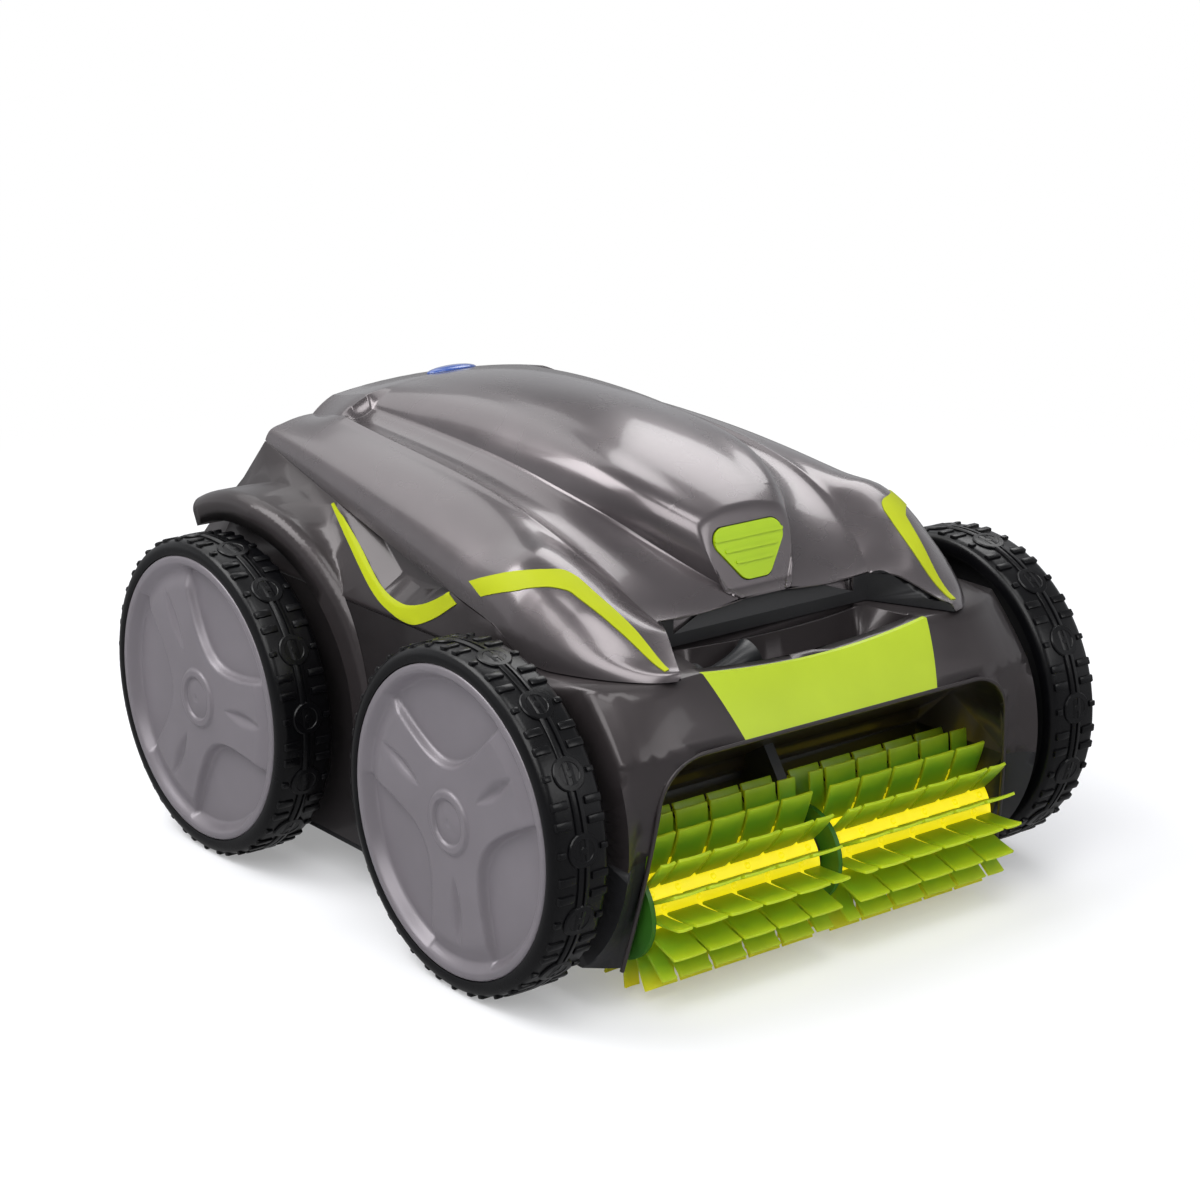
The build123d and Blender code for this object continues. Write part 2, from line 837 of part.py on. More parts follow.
def panel_region(plane, grow):
    """Sunk panel of a hubcap between two spokes, which opens out from the axle to the rim."""
    start, rim = panel_start - grow, panel_rim - wall / 2 + grow
    opening = tan(radians(panel_spread))
    half_height = sqrt(rim**2 - start**2) * sin(radians(panel_spread))
    ends = sqrt(rim**2 - half_height**2)
    middle = sqrt(start**2 + (half_height / 2 / opening) ** 2)
    with BuildSketch(plane) as region:
        with BuildLine():
            Spline(
                (ends, half_height),
                (middle, half_height / 2),
                (start, 0),
                (middle, -half_height / 2),
                (ends, -half_height),
            )
            ThreePointArc((ends, -half_height), (rim, 0), (ends, half_height))
        make_face()
    return region.sketch


for side, sign in sides.items():
    for end, y in axles.items():
        name = f"{end}_{side}"
        with BuildPart() as axle:
            cylinder_x(sign * axle_start, y, axle_z, axle_radius, sign * (axle_end - axle_start))
        save(axle.part, f"axle_{name}")

        web_x = (wheel_in + wheel_out) / 2 - wall
        with BuildPart() as rim:
            turned_profile(
                y,
                [
                    (wheel_in - wall, axle_radius),
                    (wheel_in - wall, 2 * axle_radius + wall),
                    (web_x, 2 * axle_radius + 2 * wall),
                    (web_x, rim_radius - wall),
                    (wheel_in + wall, rim_radius - wall),
                    (wheel_in + wall, rim_radius),
                    (hubcap_in, rim_radius),
                    (hubcap_in, rim_radius - wall),
                    (web_x + wall, rim_radius - wall),
                    (web_x + wall, 2 * axle_radius + wall),
                    (axle_end, 2 * axle_radius + wall),
                    (axle_end, axle_radius),
                ],
                sign,
            )
        save(rim.part, f"rim_{name}")

        tread_base = tyre_radius - tread_depth
        tyre_mid = (wheel_in + wheel_out) / 2
        with BuildPart() as tyre:
            turned_profile(
                y,
                [
                    (wheel_in, rim_radius),
                    (wheel_in, tread_base - 4),
                    (wheel_in + 4, tread_base),
                    (tyre_mid - tread_strip / 2, tread_base),
                    (tyre_mid - tread_strip / 2, tyre_radius),
                    (tyre_mid + tread_strip / 2, tyre_radius),
                    (tyre_mid + tread_strip / 2, tread_base),
                    (wheel_out - 5, tread_base),
                    (wheel_out, tread_base - 5),
                    (wheel_out, rim_radius),
                ],
                sign,
            )
            for pad in range(tread_pads):
                pad_plane = Plane(
                    origin=(sign * tyre_mid, y, axle_z),
                    x_dir=(1, 0, 0),
                    z_dir=(0, cos(2 * pi * (pad + 0.5) / tread_pads), sin(2 * pi * (pad + 0.5) / tread_pads)),
                )
                pad_top = sqrt((tyre_radius - 0.2) ** 2 - (tread_pad_size / 2) ** 2)
                with BuildSketch(pad_plane.offset(tread_base - 2)) as pad_face:
                    RegularPolygon(tread_pad_size / 2, 8)
                extrude(pad_face.sketch, amount=pad_top - tread_base + 2)
            for bar_x in (wheel_in + wall / 2, wheel_out - wall / 2 - bar_length):
                with BuildSketch(side_plane(sign * bar_x, y, axle_z)) as bars:
                    for bar_start in (-bar_turn, bar_turn):
                        with PolarLocations(tyre_radius - tread_depth / 2 - slip_gap, tread_pads, bar_start):
                            Rectangle(tread_depth, bar_width)
                extrude(bars.sketch, amount=sign * bar_length)
        save(tyre.part, f"tyre_{name}")

        turn = front_panel_turn if end == "front" else rear_panel_turn
        spoke_x = wheel_out - hubcap_lip + panel_depth
        boss_x = spoke_x + boss_rise
        with BuildPart() as hubcap:
            turned_profile(
                y,
                [
                    (hubcap_in, rim_radius - slip_gap),
                    (wheel_out - 1.5, rim_radius - slip_gap),
                    (wheel_out, rim_radius - 2),
                    (wheel_out, rim_radius - 4),
                    (spoke_x, panel_rim),
                    (spoke_x, boss_radius + boss_rise),
                    (boss_x, boss_radius),
                    (boss_x, boss_radius - 2),
                    (boss_x - boss_rise, boss_radius - 3),
                    (boss_x - boss_rise / 2, boss_radius / 3),
                    (boss_x - boss_rise / 2, 0),
                    (spoke_x - panel_depth - hubcap_wall, 0),
                    (spoke_x - panel_depth - hubcap_wall, panel_rim),
                    (hubcap_in, rim_radius - 6),
                ],
                sign,
            )
            for panel in range(3):
                angle = radians(turn + 120 * panel)
                panel_face = Plane(
                    origin=(sign * spoke_x, y, axle_z),
                    x_dir=(0, cos(angle), sin(angle)),
                    z_dir=(sign, 0, 0),
                )
                outer_panel = panel_region(panel_face.offset(1), panel_slope)
                inner_panel = panel_region(panel_face.offset(-panel_depth), -panel_slope * panel_depth)
                loft([outer_panel, inner_panel], ruled=True, mode=Mode.SUBTRACT)
                with BuildSketch(panel_face.rotated((0, 0, 60))) as groove:
                    with Locations((rim_radius * 0.58, 0)):
                        SlotOverall(rim_radius * 0.42, 2 * panel_depth)
                extrude(groove.sketch, amount=-spoke_groove, mode=Mode.SUBTRACT)
        save(hubcap.part, f"hubcap_{name}")


# Brush: one steel shaft, and two alike halves of core, finned sleeve and end flange
half_span = brush_half_length - brush_gap
sleeve_radius = brush_core_radius + fin_root
with BuildPart() as brush_shaft:
    shaft_half = bay_half_width + wall - slip_gap
    cylinder_x(-shaft_half, brush_y, brush_z, brush_shaft_radius, 2 * shaft_half)
save(brush_shaft.part, "brush_shaft")

for side, sign in sides.items():
    start_x = -brush_half_length if sign < 0 else brush_gap
    core_x = start_x + brush_flange_width
    core_length = half_span - brush_flange_width
    with BuildPart() as brush_core:
        with BuildSketch(side_plane(core_x, brush_y, brush_z)) as core_ring:
            Circle(brush_core_radius)
            Circle(brush_shaft_radius, mode=Mode.SUBTRACT)
        extrude(core_ring.sketch, amount=core_length)
    save(brush_core.part, f"brush_core_{side}")

    with BuildPart() as brush_flange:
        with BuildSketch(side_plane(start_x, brush_y, brush_z)) as flange_ring:
            Circle(brush_flange_radius)
            Circle(brush_shaft_radius, mode=Mode.SUBTRACT)
        extrude(flange_ring.sketch, amount=brush_flange_width)
    save(brush_flange.part, f"brush_flange_{side}")

    with BuildPart() as brush_fins:
        with BuildSketch(side_plane(core_x, brush_y, brush_z)) as sleeve_ring:
            RegularPolygon(sleeve_radius, 2 * fin_rows, major_radius=False)
            Circle(brush_core_radius, mode=Mode.SUBTRACT)
        extrude(sleeve_ring.sketch, amount=core_length)
        for row in range(fin_rows):
            angle = pi + 2 * pi * row / fin_rows
            outward = Vector(0, cos(angle), sin(angle))
            row_plane = Plane(
                origin=(core_x, brush_y, brush_z),
                x_dir=(1, 0, 0),
                z_dir=Vector(1, 0, 0).cross(outward),
            )
            shift = 0.0 if row % 2 else -fin_pitch / 2
            with BuildSketch(row_plane) as comb:
                for fin in range(fins_per_row + 1):
                    low = max(shift + fin * fin_pitch, 0.0)
                    high = min(shift + fin * fin_pitch + fin_width, core_length)
                    if high - low > 2 * fin_thickness:
                        with Locations(((low + high) / 2, (sleeve_radius - fin_root / 2 + brush_radius) / 2)):
                            Rectangle(high - low, brush_radius - sleeve_radius + fin_root / 2)
            extrude(comb.sketch, amount=fin_thickness / 2, both=True)
    save(brush_fins.part, f"brush_fins_{side}")

# Arm in the middle of the bay that steadies the brush
arm_half = brush_gap - 2 * slip_gap
with BuildPart() as brush_arm:
    arm_root_y = brush_y + bay_radius - 2 * wall
    with BuildSketch(side_plane(-arm_half)) as arm_face:
        with Locations((brush_y, brush_z)):
            Circle(brush_shaft_radius + 3 * wall)
        with BuildLine():
            Polyline(
                (brush_y - 3 * wall, brush_z + 2 * wall),
                (arm_root_y - 4 * wall, brush_z + 1.25 * bay_radius),
                (arm_root_y + 4 * wall, brush_z + 0.8 * bay_radius),
                (brush_y + 3 * wall, brush_z - 2 * wall),
                close=True,
            )
        make_face()
        with Locations((brush_y, brush_z)):
            Circle(brush_shaft_radius + 3, mode=Mode.SUBTRACT)
    extrude(arm_face.sketch, amount=2 * arm_half)
    add(bay.part, mode=Mode.INTERSECT)
save(brush_arm.part, "brush_arm")
with BuildPart() as brush_bush:
    with BuildSketch(side_plane(-arm_half, brush_y, brush_z)) as arm_ring:
        Circle(brush_shaft_radius + 3)
        Circle(brush_shaft_radius + run_gap, mode=Mode.SUBTRACT)
    extrude(arm_ring.sketch, amount=2 * arm_half)
save(brush_bush.part, "brush_bush")


# Hood lines
def crease_x(y):
    """Half distance between the two outer creases of the hood."""
    front = max((crease_wide_y - y) / (crease_wide_y - notch_y), 0.0)
    rear = max((y - crease_wide_y) / (rear_seam_y - crease_wide_y), 0.0)
    return max(97.0 - 19.0 * front**2.5 - 16.0 * rear**2, 70.0)


def crease_z(y):
    """Height of the outer creases of the hood."""
    share = max((rear_seam_y - 32.0 - y) / (rear_seam_y - 32.0 - notch_y), 0.0)
    slope = crown_z - 25.5 - 12.0 * share - 49.5 * share**4.7
    if y < notch_y:
        slope = max(slope, 192.0 - 0.27 * (notch_y - y))
    return slope - 7.0 * smooth(step_y, rear_seam_y, y)


def side_height(y):
    """Height of the hood's steep side above its lower edge."""
    ahead = min((rear_seam_y - y) / (rear_seam_y + 20.0), 1.0)
    full = 27.0 - 18.0 * (1 - ahead) ** 2 + 5.0 * smooth(-60.0, -110.0, y)
    return 5.0 + (full - 5.0) * smooth(hood_front_y, -115.0, y)


def crown(y):
    """Height of the hood along its middle."""
    if y > crown_y:
        return crown_z - crown_rear_drop * ((y - crown_y) / (rear_seam_y - crown_y)) ** 2
    return crown_z - crown_front_drop * ((crown_y - y) / (crown_y + 123.0)) ** 2.4


def hump_half(y):
    """Half width of the middle hump at its foot."""
    share = min(max((hump_foot_y - y) / (hump_foot_y - notch_y), 0.0), 1.0)
    return hump_tip_width + (hump_half_width - hump_tip_width) * (1 - share**3.2)


def hood_section(y, inset, arched):
    """Cross section of the hood, with two valleys beside the hump or with them filled up."""
    half, edge_z = hood_half(y) - inset, seam_z(y)
    ridge = (half - ridge_in, edge_z + side_height(y) - inset)
    flank = (half - 0.2 * ridge_in, edge_z + 0.55 * side_height(y) - inset / 2)
    crease = (min(crease_x(y), half - ridge_in - 6.0), crease_z(y) - inset)
    hump_x = hump_half(y) - inset
    foot_z = crease_z(y) + foot_rise_front + (foot_rise - foot_rise_front) * smooth(notch_y, -60.0, y) - inset
    top = max(crown(y), crease_z(y) + 12.0) - inset
    boxy = smooth(hump_foot_y, notch_y, y)
    if arched:
        foot_z += 0.45 * (top - foot_z)
        middle = ((crease[0] + hump_x) / 2, crease[1] + 0.6 * (foot_z - crease[1]))
        bends = [(0.5 * hump_x, foot_z + 0.76 * (top - foot_z))]
    else:
        middle = ((crease[0] + hump_x) / 2, crease[1] - valley_dip)
        bends = [
            ((0.85 + 0.07 * boxy) * hump_x, foot_z + (0.5 + 0.35 * boxy) * (top - foot_z)),
            (0.5 * hump_x, foot_z + (0.84 + 0.13 * boxy) * (top - foot_z)),
        ]
    foot = (hump_x, foot_z)

    def mirrored(points):
        return [(-x, z) for x, z in points]

    with BuildSketch(cross_plane(y)) as section:
        with BuildLine():
            Line((-half, edge_z - 12.0), (-half, edge_z))
            Spline((-half, edge_z), *mirrored([flank, ridge, crease]))
            Spline(*mirrored([crease, middle, foot]))
            Spline(*mirrored([foot, *bends]), (0, top), *reversed(bends), foot)
            Spline(foot, middle, crease)
            Spline(crease, ridge, flank, (half, edge_z))
            Polyline((half, edge_z), (half, edge_z - 12.0), (-half, edge_z - 12.0))
        make_face()
    return section.sketch


nose_out = Vector(0, -cos(radians(nose_tilt)), sin(radians(nose_tilt)))
nose_plane = Plane(origin=(0, nose_face_y, nose_face_z), x_dir=(1, 0, 0), z_dir=nose_out)


def notch_plan(grow):
    """Plan of the gap in the hood over the carry handle."""
    front_y = hood_front_y - 30
    with BuildSketch(Plane.XY.offset(deck_z - 40)) as region:
        with BuildLine():
            Polyline(
                (-notch_half_back - grow, notch_y + grow),
                (notch_half_back + grow, notch_y + grow),
                (notch_half_front + grow, hood_front_y - 2),
                (notch_half_front + grow, front_y),
                (-notch_half_front - grow, front_y),
                (-notch_half_front - grow, hood_front_y - 2),
                close=True,
            )
        make_face()
    return region.sketch


hood_stations = [125.0 - 25.0 * step for step in range(6)]
hood_stations += [-20.0 - 20.0 * step for step in range(5)]
hood_stations += [-115.0 - 15.0 * step for step in range(5)]


def hood_form(inset):
    """Solid hood form with the gap over the handle and the flat nose cut away."""
    back, step, front = rear_seam_y - inset, step_y + inset, hood_front_y + inset
    ramp = step + step_ramp
    loft([hood_section(y, inset, True) for y in (back, (back + ramp) / 2, ramp)])
    loft([hood_section(ramp, inset, True), hood_section(step, inset, False)], ruled=True)
    loft([hood_section(y, inset, False) for y in (step, *hood_stations, front)])
    extrude(notch_plan(inset), amount=120, mode=Mode.SUBTRACT)
    with BuildSketch(nose_plane.offset(-inset)) as nose_cut:
        with Locations((0, 25)):
            Rectangle(2 * hump_half_width, 90)
    extrude(nose_cut.sketch, amount=60, mode=Mode.SUBTRACT)


with BuildPart() as hood_core:
    hood_form(wall)


def button_region(plane, grow):
    """Rounded triangle of the release button."""
    low, high = -grow, button_height + grow
    with BuildSketch(plane) as region:
        with BuildLine():
            Polyline(
                (-button_half_top - grow, high),
                (button_half_top + grow, high),
                (button_half_bottom + grow, low),
                (-button_half_bottom - grow, low),
                close=True,
            )
        make_face()
        fillet(region.vertices(), button_corner)
    return region.sketch


def hinge_lug(low_x):
    """Side view of a hood lug and the arm that carries it."""
    with BuildSketch(side_plane(low_x)) as lug:
        with Locations((hinge_y, hinge_z)):
            Circle(hinge_lug_radius)
        with BuildLine():
            Polyline(
                (hinge_y + 0.6 * hinge_lug_radius, hinge_z + 0.7 * hinge_lug_radius),
                (rear_seam_y - wall / 2, hinge_arm_top),
                (rear_seam_y - wall / 2, hinge_arm_low),
                (hinge_y - 0.6 * hinge_lug_radius, hinge_z + 0.7 * hinge_lug_radius),
                close=True,
            )
        make_face()
    return lug.sketch


badge_slope = 2 * crown_rear_drop * (badge_y - crown_y) / (rear_seam_y - crown_y) ** 2
badge_plane = Plane(
    origin=(0, badge_y, crown(badge_y) - badge_sink),
    x_dir=(1, 0, 0),
    z_dir=(0, badge_slope, 1),
)

# Hood: a thin shell with the nose face, hinge lugs, badge recess and the button's spring seat
with BuildPart() as hood:
    hood_form(0)
    add(hood_core.part, mode=Mode.SUBTRACT)
    cut_at_seam(seam_gap / 2, False)
    extrude(button_region(nose_plane.offset(wall), slip_gap), amount=-3 * wall, mode=Mode.SUBTRACT)
    for sign in sides.values():
        low_x = sign * hinge_x - hinge_lug_width / 2
        extrude(hinge_lug(low_x), amount=hinge_lug_width)
        cylinder_x(low_x, hinge_y, hinge_z, hinge_pin_radius + run_gap, hinge_lug_width, Mode.SUBTRACT)
    with BuildSketch(badge_plane) as badge_recess:
        Ellipse(badge_length / 2 + slip_gap, badge_width / 2 + slip_gap)
    extrude(badge_recess.sketch, amount=2 * wall, mode=Mode.SUBTRACT)
    with BuildSketch(nose_plane.offset(-spring_seat)) as seat_tab:
        with Locations((0, (seat_low + seat_high) / 2)):
            Rectangle(4 * spring_radius, seat_high - seat_low)
    extrude(seat_tab.sketch, amount=-wall)
save(hood.part, "hood")

with BuildPart() as badge:
    with BuildSketch(badge_plane) as badge_face:
        Ellipse(badge_length / 2, badge_width / 2)
    extrude(badge_face.sketch, amount=badge_thickness)
    fillet(badge.edges().group_by(Axis.Z)[-1], badge_thickness / 3)
save(badge.part, "badge")

with BuildPart() as hinge_pins:
    pin_length = hinge_lug_width + 2 * slip_gap + 2 * hinge_ear_width
    for sign in sides.values():
        cylinder_x(sign * hinge_x - pin_length / 2, hinge_y, hinge_z, hinge_pin_radius, pin_length)
save(hinge_pins.part, "hinge_pins")

# Release button: it stands proud of the nose, is held in by a flange and is pushed back by a coil
with BuildPart() as latch_button:
    extrude(button_region(nose_plane.offset(button_proud), 0), amount=-button_proud - button_depth)
    extrude(button_region(nose_plane.offset(-wall - slip_gap / 2), 3 * slip_gap), amount=-button_flange)
    for ridge_row in range(button_ridges):
        with BuildSketch(nose_plane.offset(button_proud)) as finger_ridge:
            with Locations((0, button_height * (0.34 + 0.22 * ridge_row))):
                SlotOverall(button_half_top * (0.8 + 0.35 * ridge_row), button_ridge_width)
        extrude(finger_ridge.sketch, amount=button_ridge_height)
save(latch_button.part, "latch_button")

with BuildPart() as latch_spring:
    coil_plane = nose_plane.offset(-button_depth - spring_wire / 2)
    coil_start = coil_plane.from_local_coords((0, button_height / 2, 0))
    coil_height = spring_seat - button_depth - spring_wire
    with BuildLine() as coil:
        Helix(coil_height / spring_turns, coil_height, spring_radius, center=coil_start, direction=-nose_out)
    with BuildSketch(Plane(origin=coil.line @ 0, z_dir=coil.line % 0)):
        RegularPolygon(spring_wire / 2, 6)
    sweep(path=coil.line, is_frenet=True)
save(latch_spring.part, "latch_spring")


# Cable inlet in the pocket: a gland in the wall and a flared elbow that turns the cable upwards
elbow_axis = Vector(cos(radians(elbow_tilt)), 0, sin(radians(elbow_tilt)))
elbow_bend = Vector(gland_x + elbow_run, gland_y, gland_z)
with BuildPart() as cable_gland:
    cylinder_x(gland_x - gland_seat, gland_y, gland_z, gland_neck, gland_seat + 1)
    cylinder_x(gland_x, gland_y, gland_z, gland_radius, gland_flange)
    cylinder_x(gland_x - gland_seat, gland_y, gland_z, elbow_radius, gland_seat + gland_flange, Mode.SUBTRACT)
save(cable_gland.part, "cable_gland")


def elbow_lengths(radius, mode):
    """Straight length and bend of the cable elbow."""
    cylinder_x(gland_x - gland_seat, gland_y, gland_z, radius, gland_seat + elbow_run, mode)
    with Locations(Location((elbow_bend.X, elbow_bend.Y, elbow_bend.Z))):
        Sphere(radius, mode=mode)


with BuildPart() as cable_elbow:
    elbow_lengths(elbow_radius, Mode.ADD)
    bend_plane = Plane(origin=elbow_bend, x_dir=(0, 1, 0), z_dir=elbow_axis)
    flare = []
    for along, grown in ((0.0, 0.0), (0.45, 0.0), (0.8, 0.4), (1.0, 1.0)):
        with BuildSketch(bend_plane.offset(along * elbow_length)) as flare_ring:
            Circle(elbow_radius + grown * (elbow_mouth - elbow_radius))
        flare.append(flare_ring.sketch)
    loft(flare)
    elbow_lengths(cable_bore, Mode.SUBTRACT)
    with BuildSketch(bend_plane) as mouth_bore:
        Circle(cable_bore)
    extrude(mouth_bore.sketch, amount=elbow_length, mode=Mode.SUBTRACT)
save(cable_elbow.part, "cable_elbow")


# Sealed motor block with the pump's bearing boss on its back, and its ribbed cover
motor_mid_y = (motor_front_y + motor_rear_y) / 2


def motor_plan(z):
    """Plan of the motor block."""
    with BuildSketch(Plane.XY.offset(z)) as region:
        with Locations((0, motor_mid_y)):
            RectangleRounded(2 * motor_half_width, motor_rear_y - motor_front_y, motor_corner)
    return region.sketch


def cylinder_y(y, z, radius, length, mode=Mode.ADD):
    """Round bar or hole along Y in the middle of the machine, from y backwards."""
    with BuildSketch(cross_plane(y, 0, z)) as disc:
        Circle(radius)
    extrude(disc.sketch, amount=-length, mode=mode)


with BuildPart() as motor_block:
    extrude(motor_plan(floor_z), amount=motor_top_z - floor_z)
    cylinder_y(motor_rear_y, pump_z, pump_radius, pump_boss_y - motor_rear_y)
    pump_bore_y = pump_shaft_y - wall
    pump_bore = pump_shaft_radius + run_gap
    cylinder_y(pump_bore_y, pump_z, pump_bore, pump_boss_y - pump_bore_y, Mode.SUBTRACT)
    drive_bore = axle_radius + run_gap
    for sign in sides.values():
        bore_start = sign * (motor_half_width - drive_seat - wall)
        cylinder_x(bore_start, drive_y, axle_z, drive_bore, sign * (drive_seat + wall), Mode.SUBTRACT)
save(motor_block.part, "motor_block")

with BuildPart() as motor_cover:
    extrude(motor_plan(motor_top_z), amount=wall)
    for rib_x in (-90, -30, 30, 90):
        with BuildSketch(Plane.XY.offset(motor_top_z)) as rib:
            with Locations((rib_x, motor_mid_y)):
                Rectangle(wall, motor_rear_y - motor_front_y - 2 * motor_corner)
        extrude(rib.sketch, amount=basket_floor_z - motor_top_z)
save(motor_cover.part, "motor_cover")

# Pump: shaft, propeller, duct and outlet grille
propeller_end = propeller_y + propeller_length
with BuildPart() as pump_shaft:
    cylinder_y(pump_shaft_y, pump_z, pump_shaft_radius, propeller_end - pump_shaft_y)
save(pump_shaft.part, "pump_shaft")

with BuildPart() as propeller:
    cylinder_y(propeller_y, pump_z, propeller_hub, propeller_length)
    for blade in range(blade_count):
        angle = 2 * pi * blade / blade_count
        outward = Vector(cos(angle), 0, sin(angle))
        ends = []
        for reach, pitch in ((propeller_hub - 2, 50), (propeller_radius - 1, 25)):
            blade_plane = Plane(
                origin=outward * reach + Vector(0, propeller_y + propeller_length / 2, pump_z),
                x_dir=(0, 1, 0),
                z_dir=outward,
            )
            with BuildSketch(blade_plane) as blade_end:
                Rectangle(blade_chord, blade_thickness, rotation=90 - pitch)
            ends.append(blade_end.sketch)
        loft(ends)
    cylinder_y(propeller_y, pump_z, pump_shaft_radius, propeller_length, Mode.SUBTRACT)
save(propeller.part, "propeller")

with BuildPart() as outlet_duct:
    cylinder_y(duct_front_y, pump_z, duct_radius + duct_wall, 140)
    body_form(mode=Mode.INTERSECT)
    cylinder_y(duct_front_y, pump_z, duct_radius, 140, Mode.SUBTRACT)
save(outlet_duct.part, "outlet_duct")

with BuildPart() as outlet_grille:
    with BuildSketch(cross_plane(grille_y, 0, pump_z)) as grille_face:
        Circle(duct_radius)
        Circle(duct_radius - wall, mode=Mode.SUBTRACT)
        for bar in range(grille_bars):
            bar_z = (bar - (grille_bars - 1) / 2) * 2 * duct_radius / (grille_bars + 1)
            with Locations((0, bar_z)):
                Rectangle(2 * sqrt((duct_radius - wall / 2) ** 2 - bar_z**2), wall)
        Rectangle(wall, 2 * duct_radius - wall)
    extrude(grille_face.sketch, amount=-wall)
save(outlet_grille.part, "outlet_grille")


# Suction path: nozzle from the slot in the floor up to the basket
def nozzle_section(z, front, rear, half, grow):
    """Rounded section of the nozzle."""
    with BuildSketch(Plane.XY.offset(z)) as region:
        with Locations((0, (front + rear) / 2)):
            RectangleRounded(2 * (half + grow), rear - front + 2 * grow, inlet_corner + grow)
    return region.sketch


def nozzle_form(grow, mode):
    """Loft of the nozzle from the slot to its mouth."""
    low = nozzle_section(floor_z, inlet_front_y, inlet_rear_y, inlet_half_width, grow)
    high = nozzle_section(basket_floor_z, mouth_front_y, mouth_rear_y, mouth_half_width, grow)
    loft([low, high], mode=mode)


with BuildPart() as suction_nozzle:
    nozzle_form(nozzle_wall, Mode.ADD)
    extrude(
        nozzle_section(floor_z, inlet_front_y, inlet_rear_y, inlet_half_width, 1.8 * nozzle_wall),
        amount=nozzle_wall,
    )
    nozzle_form(0, Mode.SUBTRACT)
save(suction_nozzle.part, "suction_nozzle")


# Filter basket with windows, fine mesh behind them, and ears for the two inlet flaps
basket_mid_y = (basket_front_y + basket_rear_y) / 2
basket_length = basket_rear_y - basket_front_y
basket_top_z = basket_floor_z + basket_height
mouth_mid_y = (mouth_front_y + mouth_rear_y) / 2
flap_length = mouth_rear_y - mouth_front_y
flap_pin_x = mouth_half_width + 2 * flap_pin_radius
flap_pin_z = basket_floor_z + basket_wall + flap_pin_radius + slip_gap
window_height = basket_height - 4 * wall


def basket_box(low, high, inset):
    """Plain block over the basket's plan."""
    with BuildSketch(Plane.XY.offset(low)) as region:
        with Locations((0, basket_mid_y)):
            Rectangle(2 * (basket_half_width - inset), basket_length - 2 * inset)
    extrude(region.sketch, amount=high - low)


with BuildPart() as filter_basket:
    basket_box(basket_floor_z, basket_top_z, 0)
    with BuildSketch(Plane.XY.offset(basket_floor_z + basket_wall)) as basket_inside:
        with Locations((0, basket_mid_y)):
            Rectangle(2 * (basket_half_width - basket_wall), basket_length - 2 * basket_wall)
    extrude(basket_inside.sketch, amount=basket_height, mode=Mode.SUBTRACT)
    window_z = basket_floor_z + basket_height / 2
    side_pitch = basket_length / basket_windows
    with BuildSketch(side_plane(-basket_half_width, basket_mid_y, window_z)) as side_windows:
        with GridLocations(side_pitch, 1, basket_windows, 1):
            Rectangle(side_pitch - 3 * wall, window_height)
    extrude(side_windows.sketch, amount=2 * basket_half_width, mode=Mode.SUBTRACT)
    end_pitch = 2 * basket_half_width / basket_windows
    with BuildSketch(cross_plane(basket_front_y, 0, window_z)) as end_windows:
        with GridLocations(end_pitch, 1, basket_windows, 1):
            Rectangle(end_pitch - 3 * wall, window_height)
    extrude(end_windows.sketch, amount=-basket_length, mode=Mode.SUBTRACT)
    with BuildSketch(Plane.XY.offset(basket_floor_z)) as mouth_hole:
        with Locations((0, mouth_mid_y)):
            RectangleRounded(2 * mouth_half_width, flap_length, inlet_corner)
    extrude(mouth_hole.sketch, amount=basket_wall, mode=Mode.SUBTRACT)
    for sign in sides.values():
        for ear_y in (mouth_front_y - slip_gap, mouth_rear_y + slip_gap + wall):
            with BuildSketch(cross_plane(ear_y, sign * flap_pin_x, basket_floor_z + basket_wall)) as flap_ear:
                ear_height = flap_pin_z - basket_floor_z - basket_wall + 2 * flap_pin_radius
                with Locations((0, ear_height / 2)):
                    Rectangle(4 * flap_pin_radius, ear_height)
            extrude(flap_ear.sketch, amount=wall)
            with BuildSketch(cross_plane(ear_y, sign * flap_pin_x, flap_pin_z)) as flap_hole:
                Circle(flap_pin_radius + run_gap)
            extrude(flap_hole.sketch, amount=wall, mode=Mode.SUBTRACT)
save(filter_basket.part, "filter_basket")

with BuildPart() as filter_mesh:
    mesh_low = basket_floor_z + basket_wall
    basket_box(mesh_low, basket_top_z, basket_wall)
    with BuildSketch(Plane.XY.offset(mesh_low)) as mesh_inside:
        with Locations((0, basket_mid_y)):
            mesh_inset = basket_wall + mesh_thickness
            Rectangle(2 * (basket_half_width - mesh_inset), basket_length - 2 * mesh_inset)
    extrude(mesh_inside.sketch, amount=basket_height, mode=Mode.SUBTRACT)
save(filter_mesh.part, "filter_mesh")

for side, sign in sides.items():
    with BuildPart() as inlet_flap:
        with BuildSketch(cross_plane(mouth_front_y, sign * flap_pin_x, flap_pin_z)) as knuckle:
            Circle(flap_pin_radius)
            with Locations((-sign * (flap_pin_x - slip_gap) / 2, -flap_pin_radius + flap_thickness / 2)):
                Rectangle(flap_pin_x - slip_gap, flap_thickness)
        extrude(knuckle.sketch, amount=-flap_length)
        pin_front_y = mouth_front_y - wall - slip_gap
        with BuildSketch(cross_plane(pin_front_y, sign * flap_pin_x, flap_pin_z)) as flap_pin:
            Circle(flap_pin_radius)
        extrude(flap_pin.sketch, amount=-flap_length - 2 * (wall + slip_gap))
    save(inlet_flap.part, f"inlet_flap_{side}")

